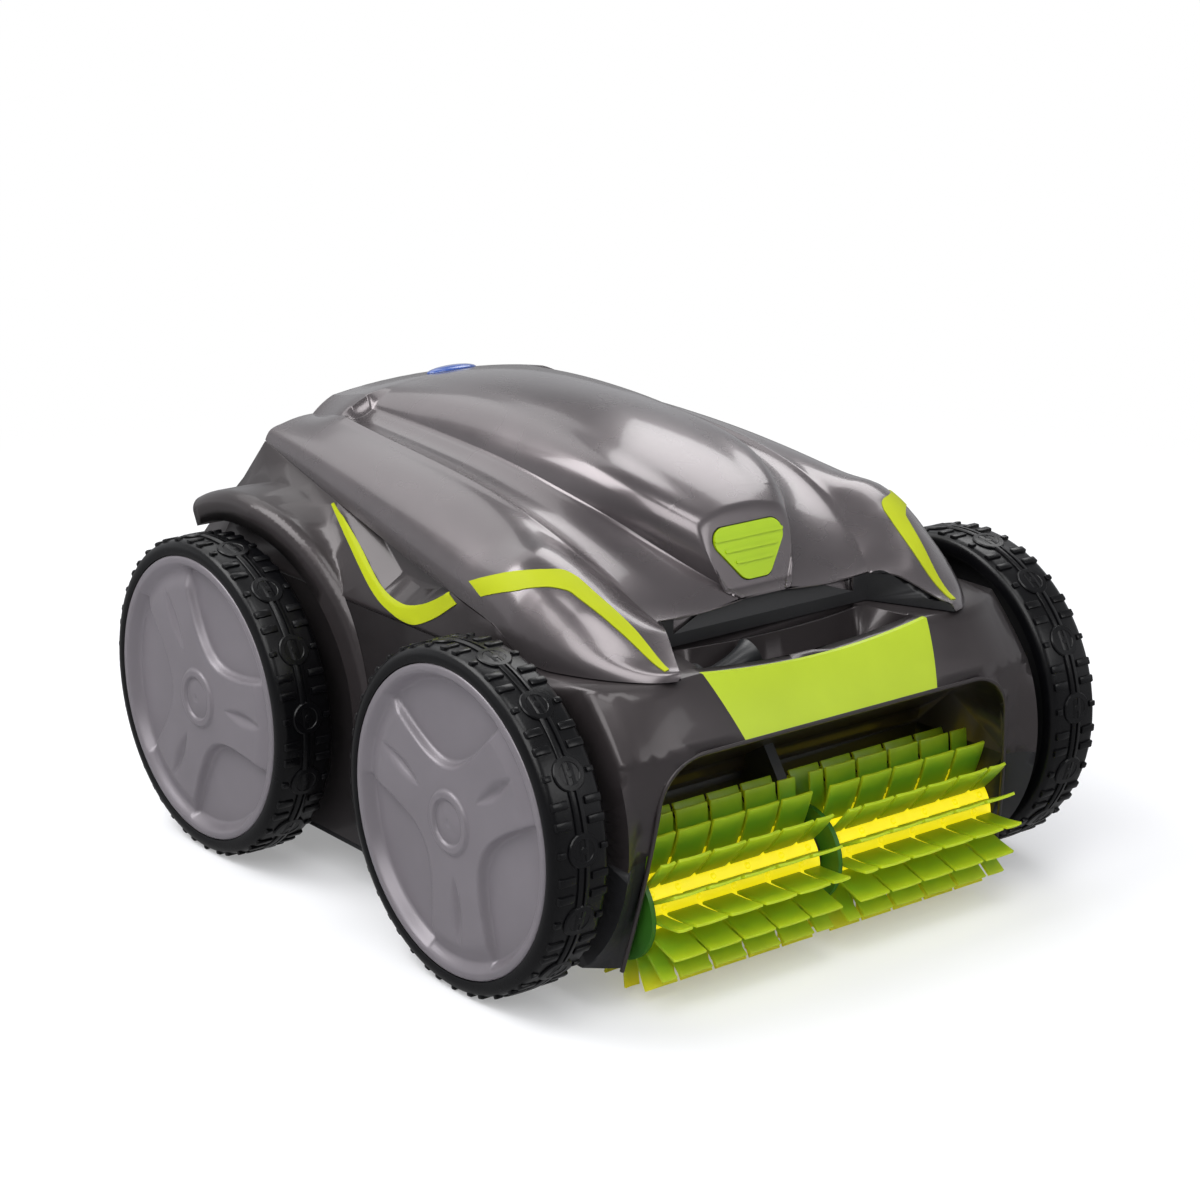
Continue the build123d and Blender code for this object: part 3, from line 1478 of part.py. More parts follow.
# Lid of the basket and its folding lift handle
with BuildPart() as filter_lid:
    lid_top_z = basket_top_z + lid_height
    lift_z = lid_top_z + 0.75 * lift_rod + slip_gap
    basket_box(basket_top_z, lid_top_z, 0)
    for sign in sides.values():
        ear_low = min(sign * lift_ear_x, sign * (lift_ear_x + lift_rod))
        with BuildSketch(side_plane(ear_low)) as lift_ear:
            with Locations((lift_y, lift_z)):
                Circle(lift_rod / 2 + 2)
            with Locations((lift_y, (lid_top_z + lift_z) / 2 - 1)):
                Rectangle(lift_rod + 4, lift_z - lid_top_z + 2)
        extrude(lift_ear.sketch, amount=lift_rod)
        cylinder_x(ear_low, lift_y, lift_z, lift_pin_radius + run_gap, lift_rod, Mode.SUBTRACT)
save(filter_lid.part, "filter_lid")

with BuildPart() as filter_handle:
    arm_outer = lift_ear_x - slip_gap
    with BuildSketch(Plane.XY.offset(lift_z - lift_rod / 2)) as bail:
        with Locations((0, lift_y - lift_reach / 2)):
            Rectangle(2 * arm_outer, lift_reach + lift_rod)
        with Locations((0, lift_y - lift_reach / 2 + lift_rod)):
            Rectangle(2 * (arm_outer - lift_rod), lift_reach + lift_rod, mode=Mode.SUBTRACT)
    extrude(bail.sketch, amount=lift_rod)
    for sign in sides.values():
        pin_low = min(sign * (arm_outer - lift_rod / 2), sign * (lift_ear_x + lift_rod))
        cylinder_x(pin_low, lift_y, lift_z, lift_pin_radius, lift_rod * 1.5 + slip_gap)
save(filter_handle.part, "filter_handle")
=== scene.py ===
"""Dresses a wheeled robotic pool cleaner: finishes, wheels, brush paddles, the hood's skin and trim lines."""

from __future__ import annotations

import json
import logging
import math
from contextlib import contextmanager
from dataclasses import dataclass, field
from enum import Enum
from functools import partial
from typing import Any, Callable, Iterable, Iterator, Sequence

import bpy
from mathutils import Matrix, Vector
from mathutils.bvhtree import BVHTree

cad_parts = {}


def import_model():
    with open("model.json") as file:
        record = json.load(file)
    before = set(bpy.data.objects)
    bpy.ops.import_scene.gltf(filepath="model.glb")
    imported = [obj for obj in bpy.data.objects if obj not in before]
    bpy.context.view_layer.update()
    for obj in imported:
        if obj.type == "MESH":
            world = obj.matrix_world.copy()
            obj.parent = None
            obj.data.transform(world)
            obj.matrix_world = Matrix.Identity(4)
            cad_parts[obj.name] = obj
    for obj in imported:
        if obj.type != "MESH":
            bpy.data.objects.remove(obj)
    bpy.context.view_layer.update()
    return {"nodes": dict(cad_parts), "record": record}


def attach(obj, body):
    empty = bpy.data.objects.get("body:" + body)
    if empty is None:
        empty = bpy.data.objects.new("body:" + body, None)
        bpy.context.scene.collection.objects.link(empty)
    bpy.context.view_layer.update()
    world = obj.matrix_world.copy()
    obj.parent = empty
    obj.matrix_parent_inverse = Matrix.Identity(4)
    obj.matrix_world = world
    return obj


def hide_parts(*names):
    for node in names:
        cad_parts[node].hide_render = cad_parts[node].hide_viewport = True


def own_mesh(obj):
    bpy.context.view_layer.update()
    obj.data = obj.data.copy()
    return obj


log = logging.getLogger("pool_cleaner")

MM = 0.001
# Places that several pieces share, in millimetres
AXLE_Z = 97.5
NOTCH_Y = -152.5
BRUSH_AXIS = (-185.0, 50.0)

STAY = Matrix.Identity(4)
WHITE = (1.0, 1.0, 1.0, 1.0)

Flat = tuple[float, float]
Point = tuple[float, float, float]
Colour = tuple[float, float, float, float]
Run = tuple[float, float, int]
Piece = bpy.types.Object
Material = bpy.types.Material


class Labelled(Enum):
    """Part of the machine whose name the solids carry."""

    @property
    def label(self) -> str:
        """Name as the solids use it."""
        return self.name.lower()


class Side(Labelled):
    """Side of the machine as the solids name it, with the sign of its X."""

    LEFT = -1
    RIGHT = 1


class End(Labelled):
    """End of the machine, with the place of its axle in millimetres."""

    FRONT = -125.5
    REAR = 134.5


# Small tools shared by all sub-assemblies


def linear(code: str) -> Colour:
    """Turn an sRGB hex value into a linear colour.

    Args:
        code: Colour as "#RRGGBB".

    Returns:
        Linear red, green, blue and an alpha of one.
    """
    parts = [int(code[i : i + 2], 16) / 255 for i in (1, 3, 5)]
    red, green, blue = (c / 12.92 if c <= 0.04045 else ((c + 0.055) / 1.055) ** 2.4 for c in parts)
    return (red, green, blue, 1.0)


def per_metre(size_mm: float) -> float:
    """Give the texture scale at which one cell of a pattern has a size in millimetres."""
    return 1.0 / (size_mm * MM)


def add_node(
    tree: bpy.types.NodeTree,
    kind: str,
    sockets: dict[Any, Any] | None = None,
    stops: Sequence[tuple[float, Colour]] = (),
    **settings: Any,
) -> Any:
    """Add one shader node with its settings, values and links.

    Args:
        tree: Node tree that takes the node.
        kind: Type name of the node, without ShaderNode.
        sockets: Input name or index, with a plain value, or an output (or a node's first one) to link.
        stops: Places and colours of a colour ramp, its two ends first.
        settings: Attributes of the node.

    Returns:
        The new node.
    """
    item = tree.nodes.new(f"ShaderNode{kind}")
    for key, value in settings.items():
        setattr(item, key, value)
    for key, value in (sockets or {}).items():
        source = value.outputs[0] if isinstance(value, bpy.types.Node) else value
        if isinstance(source, bpy.types.NodeSocket):
            tree.links.new(source, item.inputs[key])
        else:
            item.inputs[key].default_value = value
    for index, (place, colour) in enumerate(stops):
        ramp = item.color_ramp.elements
        stop = ramp[index] if index < 2 else ramp.new(place)
        stop.position, stop.color = place, colour
    return item


def new_material(name: str) -> tuple[Material, Callable[..., Any], bpy.types.NodeSocket]:
    """Start a node material.

    Args:
        name: The real material and how its surface was made.

    Returns:
        The material, add_node for its tree, and the place on the object in metres.
    """
    made = bpy.data.materials.new(name)
    made.use_nodes = True
    made.node_tree.nodes.clear()
    add = partial(add_node, made.node_tree)
    return made, add, add("TexCoord").outputs["Object"]


def pick_only(piece: Piece | None) -> None:
    """Leave Edit Mode, select one object alone and make it active.

    Args:
        piece: The object, or None to select nothing.
    """
    if bpy.context.object and bpy.context.object.mode != "OBJECT":
        bpy.ops.object.mode_set(mode="OBJECT")
    bpy.ops.object.select_all(action="DESELECT")
    if piece:
        piece.select_set(True)
        bpy.context.view_layer.objects.active = piece


@contextmanager
def editing(piece: Piece) -> Iterator[None]:
    """Work on a whole mesh in Edit Mode.

    Args:
        piece: Object whose mesh is edited.

    Yields:
        Nothing, with all of the mesh selected.
    """
    pick_only(piece)
    bpy.ops.object.mode_set(mode="EDIT")
    bpy.ops.mesh.select_all(action="SELECT")
    yield
    bpy.ops.object.mode_set(mode="OBJECT")


def new_piece(name: str, add: Callable[..., Any], **options: Any) -> Piece:
    """Start a piece from a primitive.

    Args:
        name: Name of the piece.
        add: Operator that adds the primitive.
        options: Sizes and place of the primitive.

    Returns:
        The new object, alone in the selection.
    """
    pick_only(None)
    add(**options)
    piece = bpy.context.object
    piece.name = piece.data.name = name
    bpy.ops.object.transform_apply(location=True, rotation=True, scale=True)
    return piece


def apply_modifier(piece: Piece, kind: str, **settings: Any) -> None:
    """Add a modifier with its settings and apply it.

    Args:
        piece: Object that is changed.
        kind: Type of the modifier.
        settings: Attributes of the modifier.
    """
    pick_only(piece)
    modifier = piece.modifiers.new(kind.lower(), kind)
    for key, value in settings.items():
        setattr(modifier, key, value)
    bpy.ops.object.modifier_apply(modifier=modifier.name)


def clean(piece: Piece, distance: float = 1e-5) -> None:
    """Merge doubled points and turn all faces outwards.

    Args:
        piece: Object that is cleaned.
        distance: Points nearer than this are merged, in metres.
    """
    with editing(piece):
        bpy.ops.mesh.remove_doubles(threshold=distance)
        bpy.ops.mesh.normals_make_consistent(inside=False)


def smooth(piece: Piece, angle: float) -> None:
    """Shade a piece smooth, with edges sharper than an angle in degrees kept crisp."""
    pick_only(piece)
    bpy.ops.object.shade_smooth_by_angle(angle=math.radians(angle))


def copied(piece: Piece, move: Matrix = STAY) -> Piece:
    """Copy a piece with a mesh of its own.

    Args:
        piece: Object to copy.
        move: Where the copy goes; it is worked into the mesh.

    Returns:
        The copy, which sits at the origin.
    """
    twin = piece.copy()
    twin.data = piece.data.copy()
    twin.data.transform(move)
    bpy.context.scene.collection.objects.link(twin)
    return twin


def joined(name: str, pieces: Sequence[Piece]) -> Piece:
    """Join several objects into one.

    Args:
        name: Name of the result.
        pieces: Objects to join; the first takes the others in.

    Returns:
        The joined object.
    """
    pick_only(pieces[0])
    for piece in pieces[1:]:
        piece.select_set(True)
    bpy.ops.object.join()
    pieces[0].name = pieces[0].data.name = name
    return pieces[0]


def ringed(name: str, points: int, radii: Sequence[float]) -> Piece:
    """Model a flat disc of rings, whose points are counted ring by ring.

    Args:
        name: Name of the disc.
        points: Points on each ring.
        radii: Radius of each ring from the outside, in millimetres.

    Returns:
        The disc, about the Z axis.
    """
    disc = new_piece(
        name, bpy.ops.mesh.primitive_circle_add, vertices=points, radius=radii[0] * MM, fill_type="NOTHING"
    )
    with editing(disc):
        for before, after in zip(radii, radii[1:]):
            bpy.ops.mesh.extrude_edges_move()
            bpy.ops.transform.resize(value=(after / before, after / before, 1.0))
        bpy.ops.mesh.edge_face_add()
    return disc


def dress(piece: Piece, material: Material) -> None:
    """Give a piece one material all over."""
    piece.data.materials.clear()
    piece.data.materials.append(material)


def mount(piece: Piece, material: Material | None, body: str, slot: str, *nodes: str) -> None:
    """Dress a finished piece and tie it to the machine.

    Args:
        piece: Piece in its place.
        material: Its finish, or None where it has one.
        body: CAD body that it moves with.
        slot: Material slot that it belongs to; not used.
        nodes: Solids that it stands for.
    """
    if material:
        dress(piece, material)
    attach(piece, body)
    if nodes:
        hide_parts(*nodes)
    log.info("%s: %d faces", piece.name, len(piece.data.polygons))


def on_wheels(
    first: Piece, material: Material, name: str, slot: str, place: Callable[[Side, End], Matrix]
) -> None:
    """Put a copy of a piece on each wheel.

    Args:
        first: The piece, modelled about the X axis; it goes when the copies are made.
        material: Its finish.
        name: Start of the copies' names.
        slot: Their material slot, which also starts the names of the solids that they stand for.
        place: Gives the move from the middle of a wheel's axle.
    """
    for side in Side:
        for end in End:
            wheel = f"{end.label}_{side.label}"
            move = Matrix.Translation(Vector((0.0, end.value, AXLE_Z)) * MM) @ place(side, end)
            piece = copied(first, move)
            if move.is_negative:
                clean(piece, 1e-6)
            piece.name = f"{name}_{wheel}"
            mount(piece, material, f"wheel_{wheel}", slot, f"{slot}_{wheel}")
    bpy.data.objects.remove(first)


def ease(low: float, high: float, value: float) -> float:
    """Give a share from 0 to 1 that eases in and out between two places."""
    share = min(max((value - low) / (high - low), 0.0), 1.0)
    return share * share * (3 - 2 * share)


def stepped(runs: Iterable[Run]) -> list[float]:
    """List places that fall in even steps, from runs of a first place, a step and a count."""
    return [first - step * index for first, step, count in runs for index in range(count)]


def through(points: Sequence[Point], count: int) -> list[Vector]:
    """Read evenly spread places from a smooth line through a few points.

    Args:
        points: Places the line passes, in millimetres.
        count: Number of places to read.

    Returns:
        Places along the line, in metres.
    """
    knots = [Vector(p) * MM for p in points]
    knots = [2 * knots[0] - knots[1], *knots, 2 * knots[-1] - knots[-2]]
    spans = len(points) - 1
    result = []
    for step in range(count):
        place = step / (count - 1) * spans
        span = min(int(place), spans - 1)
        t = place - span
        a, b, c, d = knots[span : span + 4]
        bow = (2 * a - 5 * b + 4 * c - d) * t**2 + (3 * b - a - 3 * c + d) * t**3
        result.append(0.5 * (2 * b + (c - a) * t + bow))
    return result


def bent(points: Sequence[Flat], shares: Sequence[float]) -> list[Flat]:
    """Read places from a smooth line through a few points of a cross section.

    Args:
        points: Places the line passes, in millimetres.
        shares: Shares of its length at which it is read.

    Returns:
        Places along the line, in millimetres.
    """
    spots = [Vector(point) for point in points]
    spans = [(b - a).length for a, b in zip(spots, spots[1:])]
    slopes = [(b - a) / span for a, b, span in zip(spots, spots[1:], spans)]
    runs = [
        (after * slope_before + before * slope_after) / (before + after)
        for before, after, slope_before, slope_after in zip(spans, spans[1:], slopes, slopes[1:])
    ]
    runs = [2 * slopes[0] - runs[0], *runs, 2 * slopes[-1] - runs[-1]]
    result = []
    for share in shares:
        left = share * sum(spans)
        span = 0
        while span < len(spans) - 1 and left > spans[span]:
            left -= spans[span]
            span += 1
        t = min(left / spans[span], 1.0)
        place = spots[span] * (2 * t**3 - 3 * t**2 + 1) + spots[span + 1] * (3 * t**2 - 2 * t**3)
        place += (runs[span] * (t**3 - 2 * t**2 + t) + runs[span + 1] * (t**3 - t**2)) * spans[span]
        result.append((place.x, place.y))
    return result


def rounded(points: Sequence[Flat], radius: float, steps: int) -> list[Vector]:
    """Round the corners of a flat outline.

    Args:
        points: Its corners in millimetres.
        radius: Radius of each corner in millimetres.
        steps: Places read on each corner.

    Returns:
        Places round the outline, in millimetres.
    """
    spots = [Vector(point) for point in points]
    result = []
    for index, spot in enumerate(spots):
        before = (spots[index - 1] - spot).normalized()
        after = (spots[(index + 1) % len(spots)] - spot).normalized()
        half = before.angle(after) / 2
        middle = spot + (before + after).normalized() * (radius / math.sin(half))
        start = spot + before * (radius / math.tan(half)) - middle
        end = spot + after * (radius / math.tan(half)) - middle
        for step in range(steps):
            result.append(middle + start.lerp(end, step / (steps - 1)).normalized() * radius)
    return result


# Finishes


@dataclass(frozen=True)
class MouldedPlastic:
    """Injection moulded plastic: even colour, a slight cloud in tone and gloss, a fine eroded grain, and
    where set a painted glow.
    """

    name: str
    colour: str
    roughness: float = 0.45
    ior: float = 1.5
    grain_mm: float = 1.2
    grain_depth_mm: float = 0.03
    cloud: float = 0.12
    cloud_mm: float = 55.0
    coat: float = 0.0
    coat_roughness: float = 0.09
    flake: float = 0.0
    # Aluminium flake is about 0.05 mm across; drawn coarser so that it shows
    flake_mm: float = 0.5
    metallic: float = 0.0
    wave_mm: float = 70.0
    wave_depth_mm: float = 0.0
    # Strength of an emission in the part's own colour: painted light that stands for light filling it
    glow: float = 0.0

    def material(self) -> Material:
        """Build the node material.

        Returns:
            Material with cloud, grain and, where the finish has it, metal flake under a clear coat.
        """
        made, add, place = new_material(self.name)
        cloud = add(
            "TexNoise", {"Vector": place, "Scale": per_metre(self.cloud_mm), "Detail": 3.0, "Roughness": 0.6}
        )
        base = Vector(linear(self.colour)[:3])
        ends = ((0.32, 1 - self.cloud), (0.68, 1 + self.cloud))
        stops = [(position, (*(base * share), 1.0)) for position, share in ends]
        colour = add("ValToRGB", {"Fac": cloud}, stops)
        if self.flake:
            flake = add("TexVoronoi", {"Vector": place, "Scale": per_metre(self.flake_mm)})
            glint = add(
                "MapRange",
                {"Value": flake.outputs["Color"], "To Min": 1 - self.flake, "To Max": 1 + self.flake},
            )
            colour = add("VectorMath", {0: colour, 1: glint}, operation="MULTIPLY")
        dull = {
            "From Min": 0.3, "From Max": 0.7, "To Min": self.roughness * 0.88, "To Max": self.roughness * 1.12
        }
        gloss = add("MapRange", {"Value": cloud, **dull})
        grain = add("TexNoise", {"Vector": place, "Scale": per_metre(self.grain_mm), "Detail": 2.0})
        bump = add("Bump", {"Height": grain, "Strength": 1.0, "Distance": self.grain_depth_mm * MM})
        if self.wave_depth_mm:
            # Large thin mouldings sink a little between ribs, which bends long reflections
            sink = add("TexNoise", {"Vector": place, "Scale": per_metre(self.wave_mm), "Detail": 1.0})
            depth = self.wave_depth_mm * MM
            bump = add("Bump", {"Height": sink, "Strength": 1.0, "Distance": depth, "Normal": bump})
        shader = add(
            "BsdfPrincipled",
            {
                "Base Color": colour,
                "Roughness": gloss,
                "Metallic": self.metallic,
                "IOR": self.ior,
                "Coat Weight": self.coat,
                "Coat Roughness": self.coat_roughness,
                # Painted light: the part glows in its own colour
                "Emission Color": linear(self.colour),
                "Emission Strength": self.glow,
                "Normal": bump,
            },
        )
        add("OutputMaterial", {"Surface": shader})
        return made


@dataclass(frozen=True)
class PaddlePvc:
    """Soft translucent PVC of the paddles: green where light falls on it, yellow where it shines through, and
    that yellow painted into the lowest paddles as light from the floor.
    """

    name: str
    root: str
    middle: str
    tip: str
    # Colour of light through the PVC, for the translucent shader and as painted light low down
    glow: str
    reach_mm: Flat
    roughness: float = 0.38
    streak_mm: float = 14.0
    streak: float = 0.14
    grain_mm: float = 1.0
    grain_depth_mm: float = 0.04
    translucent: float = 0.42
    # Heights between which painted light from the pale floor, yellow in the base colour, fades out of the
    # lowest paddles
    painted_floor_light_mm: Flat = (4.0, 20.0)
    painted_floor_light_share: float = 0.85

    def material(self) -> Material:
        """Build the node material.

        Returns:
            Material whose colour follows the distance from the brush's axis, with painted yellow light in the
            lowest paddles.
        """
        made, add, place = new_material(self.name)
        axis = Vector((0.0, *BRUSH_AXIS)) * MM
        away = add("VectorMath", {0: place, 1: axis}, operation="SUBTRACT")
        across = add("VectorMath", {0: away, 1: (0.0, 1.0, 1.0)}, operation="MULTIPLY")
        radius = add("VectorMath", {0: across}, operation="LENGTH").outputs["Value"]
        near, far = (r * MM for r in self.reach_mm)
        share = add("MapRange", {"Value": radius, "From Min": near, "From Max": far})
        streak = add(
            "TexNoise", {"Vector": place, "Scale": per_metre(self.streak_mm), "Detail": 3.0, "Roughness": 0.6}
        )
        shift = add("MapRange", {"Value": streak, "To Min": -self.streak, "To Max": self.streak})
        worn = add("Math", {0: share, 1: shift}, operation="ADD")
        stops = ((0.05, linear(self.root)), (0.98, linear(self.tip)), (0.6, linear(self.middle)))
        ramp = add("ValToRGB", {"Fac": worn}, stops)
        # Painted light: the lowest paddles take the yellow of floor light into their colour
        level = add("SeparateXYZ", {"Vector": place}).outputs["Z"]
        floor, top = (z * MM for z in self.painted_floor_light_mm)
        limits = {"From Min": floor, "From Max": top, "To Min": self.painted_floor_light_share, "To Max": 0.0}
        low = add("MapRange", {"Value": level, **limits})
        colour = add("Mix", {"Factor": low, 6: ramp, 7: linear(self.glow)}, data_type="RGBA")
        grain = add("TexNoise", {"Vector": place, "Scale": per_metre(self.grain_mm), "Detail": 2.0})
        bump = add("Bump", {"Height": grain, "Strength": 1.0, "Distance": self.grain_depth_mm * MM})
        shader = add(
            "BsdfPrincipled",
            {"Base Color": colour.outputs[2], "Roughness": self.roughness, "IOR": 1.53, "Normal": bump},
        )
        shine = add("BsdfTranslucent", {"Color": linear(self.glow), "Normal": bump})
        mixed = add("MixShader", {0: self.translucent, 1: shader, 2: shine})
        add("OutputMaterial", {"Surface": mixed})
        return made


@dataclass(frozen=True)
class DrawnSteel:
    """Bright drawn stainless bar: fine lines along the bar that spread the highlight."""

    name: str
    colour: str = "#B9BABC"
    # Draw lines are about 0.05 mm apart; drawn coarser so that they show
    line_mm: float = 0.4
    stretch: float = 0.03
    roughness: Flat = (0.18, 0.36)

    def material(self) -> Material:
        """Build the node material.

        Returns:
            Metal with draw lines along X.
        """
        made, add, place = new_material(self.name)
        long = add("Mapping", {"Vector": place, "Scale": (self.stretch, 1.0, 1.0)})
        lines = add("TexNoise", {"Vector": long, "Scale": per_metre(self.line_mm), "Detail": 2.0})
        low, high = self.roughness
        gloss = add("MapRange", {"Value": lines, "To Min": low, "To Max": high})
        shader = add(
            "BsdfPrincipled", {"Base Color": linear(self.colour), "Metallic": 1.0, "Roughness": gloss}
        )
        add("OutputMaterial", {"Surface": shader})
        return made


@dataclass(frozen=True)
class FilterMesh:
    """Woven polyester filter cloth: a square weave of round threads, with painted shade in the holes between
    them.
    """

    name: str
    colour: str = "#C9CCC8"
    painted_hole_shade: str = "#5A5E5C"
    # Threads are about 0.2 mm apart; drawn coarser so that they show
    thread_mm: float = 1.6
    thread_depth_mm: float = 0.15
    # Bands that the wave node draws per unit of its scale
    bands: float = 20.0

    def material(self) -> Material:
        """Build the node material.

        Returns:
            Cloth with a square weave in colour and height.
        """
        made, add, place = new_material(self.name)
        turned = add("Mapping", {"Vector": place, "Rotation": (0.0, 0.0, math.pi / 4)})
        scale = per_metre(self.thread_mm) / self.bands
        waves = [
            add("TexWave", {"Vector": source, "Scale": scale}, bands_direction=direction).outputs["Fac"]
            for source, direction in ((turned, "X"), (place, "Z"))
        ]
        weave = add("Math", dict(enumerate(waves)), operation="MAXIMUM")
        # Painted shade: the holes between the threads take a dark grey
        stops = ((0.3, linear(self.painted_hole_shade)), (0.7, linear(self.colour)))
        tone = add("ValToRGB", {"Fac": weave}, stops)
        depth = self.thread_depth_mm * MM
        bump = add("Bump", {"Height": weave, "Strength": 0.6, "Distance": depth})
        shader = add(
            "BsdfPrincipled", {"Base Color": tone, "Roughness": 0.8, "Sheen Weight": 0.2, "Normal": bump}
        )
        add("OutputMaterial", {"Surface": shader})
        return made


FINISHES: dict[str, Any] = {
    # ABS moulded with metal flake and lacquered: a warm grey with long soft highlights
    "hood": MouldedPlastic(
        "metallic_abs_hood", "#6A6466", roughness=0.27, metallic=0.72, coat=0.5, grain_depth_mm=0.001,
        cloud=0.05, wave_depth_mm=0.02,
    ),
    # The same with less lacquer: darker and duller below the hood
    "shell": MouldedPlastic(
        "metallic_abs_body", "#3E393A", roughness=0.36, metallic=0.5, coat=0.25, grain_depth_mm=0.003,
        cloud=0.06, wave_depth_mm=0.02,
    ),
    "cover": MouldedPlastic(
        "metallic_abs_cover", "#3A3637", roughness=0.4, metallic=0.6, coat=0.3, grain_depth_mm=0.004
    ),
    # Plain ABS off a grained mould: a dull black that stays in the shadow; on the hood it also paints the
    # shade in the gap over the handle
    "chassis": MouldedPlastic("black_abs_pan", "#222224", roughness=0.5, grain_depth_mm=0.05),
    # ABS coloured right through, off a polished mould: clear flat lime that mirrors little
    "grip": MouldedPlastic(
        "lime_abs_grip", "#A6BB1D", roughness=0.36, coat=0.1, cloud=0.05, grain_depth_mm=0.01
    ),
    "button": MouldedPlastic("green_abs_button", "#9DBB0C", roughness=0.36, cloud=0.05),
    # Printed film with a matt face: strong lime without highlights
    "stripe": MouldedPlastic(
        "lime_inlay_film", "#A4AE00", roughness=0.6, ior=1.35, cloud=0.04, grain_depth_mm=0.01
    ),
    # Enamel under a clear drop: deep blue with one sharp highlight
    "badge": MouldedPlastic("blue_badge_enamel", "#33539E", roughness=0.18, coat=0.8, cloud=0.1, flake=0.1),
    # Moulded rubber: near black, with a sheen that draws the edges of the tread
    "tyre": MouldedPlastic(
        "tyre_rubber", "#08080A", roughness=0.3, ior=1.38, cloud=0.2, grain_mm=1.6, grain_depth_mm=0.06
    ),
    # Nylon off a grained mould: dull black behind the hubcap
    "rim": MouldedPlastic("black_nylon_rim", "#232324", roughness=0.5, grain_depth_mm=0.04),
    # ABS off a satin mould: soft grey without sharp highlights
    "hubcap": MouldedPlastic(
        "satin_grey_abs_cap", "#7A757A", roughness=0.36, metallic=0.3, grain_depth_mm=0.002, cloud=0.05
    ),
    # Acetal without colour: milky white and waxy
    "gear": MouldedPlastic("natural_acetal_gear", "#E4E0D4", roughness=0.4, cloud=0.04),
    "bush": MouldedPlastic("natural_acetal_bush", "#D8D4C6", roughness=0.4, cloud=0.04),
    # Drawn bar: bright metal with a highlight spread along the bar
    "steel": DrawnSteel("drawn_stainless_bar"),
    # Polypropylene coloured right through: bright yellow, with a painted glow for the light that fills it
    "core": MouldedPlastic(
        "yellow_pp_core", "#FFEA14", roughness=0.4, cloud=0.05, grain_depth_mm=0.02, glow=0.5
    ),
    # Soft moulded PVC: green, paler to the tips, with yellow light coming through, and that yellow painted
    # into the lowest paddles as light from the floor
    "fins": PaddlePvc("green_pvc_paddles", "#3E881C", "#5CA42A", "#AACF30", "#FFF41A", (22.0, 47.0)),
    # Moulded polypropylene: dark green with a soft waxy gloss
    "flange": MouldedPlastic("dark_green_pp_flange", "#2F6417", roughness=0.42),
    # Inner mouldings off grained moulds: blacks and greys that differ in sheen alone
    "inner": MouldedPlastic("black_pp_inner", "#2A2B2E", roughness=0.5, grain_depth_mm=0.05),
    "gland": MouldedPlastic("black_tpe_gland", "#17181A", roughness=0.6, grain_depth_mm=0.05),
    "elbow": MouldedPlastic("black_pa_elbow", "#1C1D1F", roughness=0.38, grain_depth_mm=0.03),
    "basket": MouldedPlastic("grey_pp_basket", "#4A4D52", roughness=0.48, grain_depth_mm=0.04),
    "lid": MouldedPlastic("grey_abs_lid", "#5B5F66", roughness=0.42, grain_depth_mm=0.03),
    "propeller": MouldedPlastic("dark_pa_propeller", "#3A3C40", roughness=0.4),
    # Woven polyester: pale cloth, with painted shade as a dark dot in each hole
    "mesh": FilterMesh("polyester_filter_cloth"),
    # Moulded polypropylene: plain lime that is easy to find
    "lift": MouldedPlastic("lime_pp_lift", "#B8D030", roughness=0.4, cloud=0.05),
}


# Sub-assemblies; their sizes are in millimetres


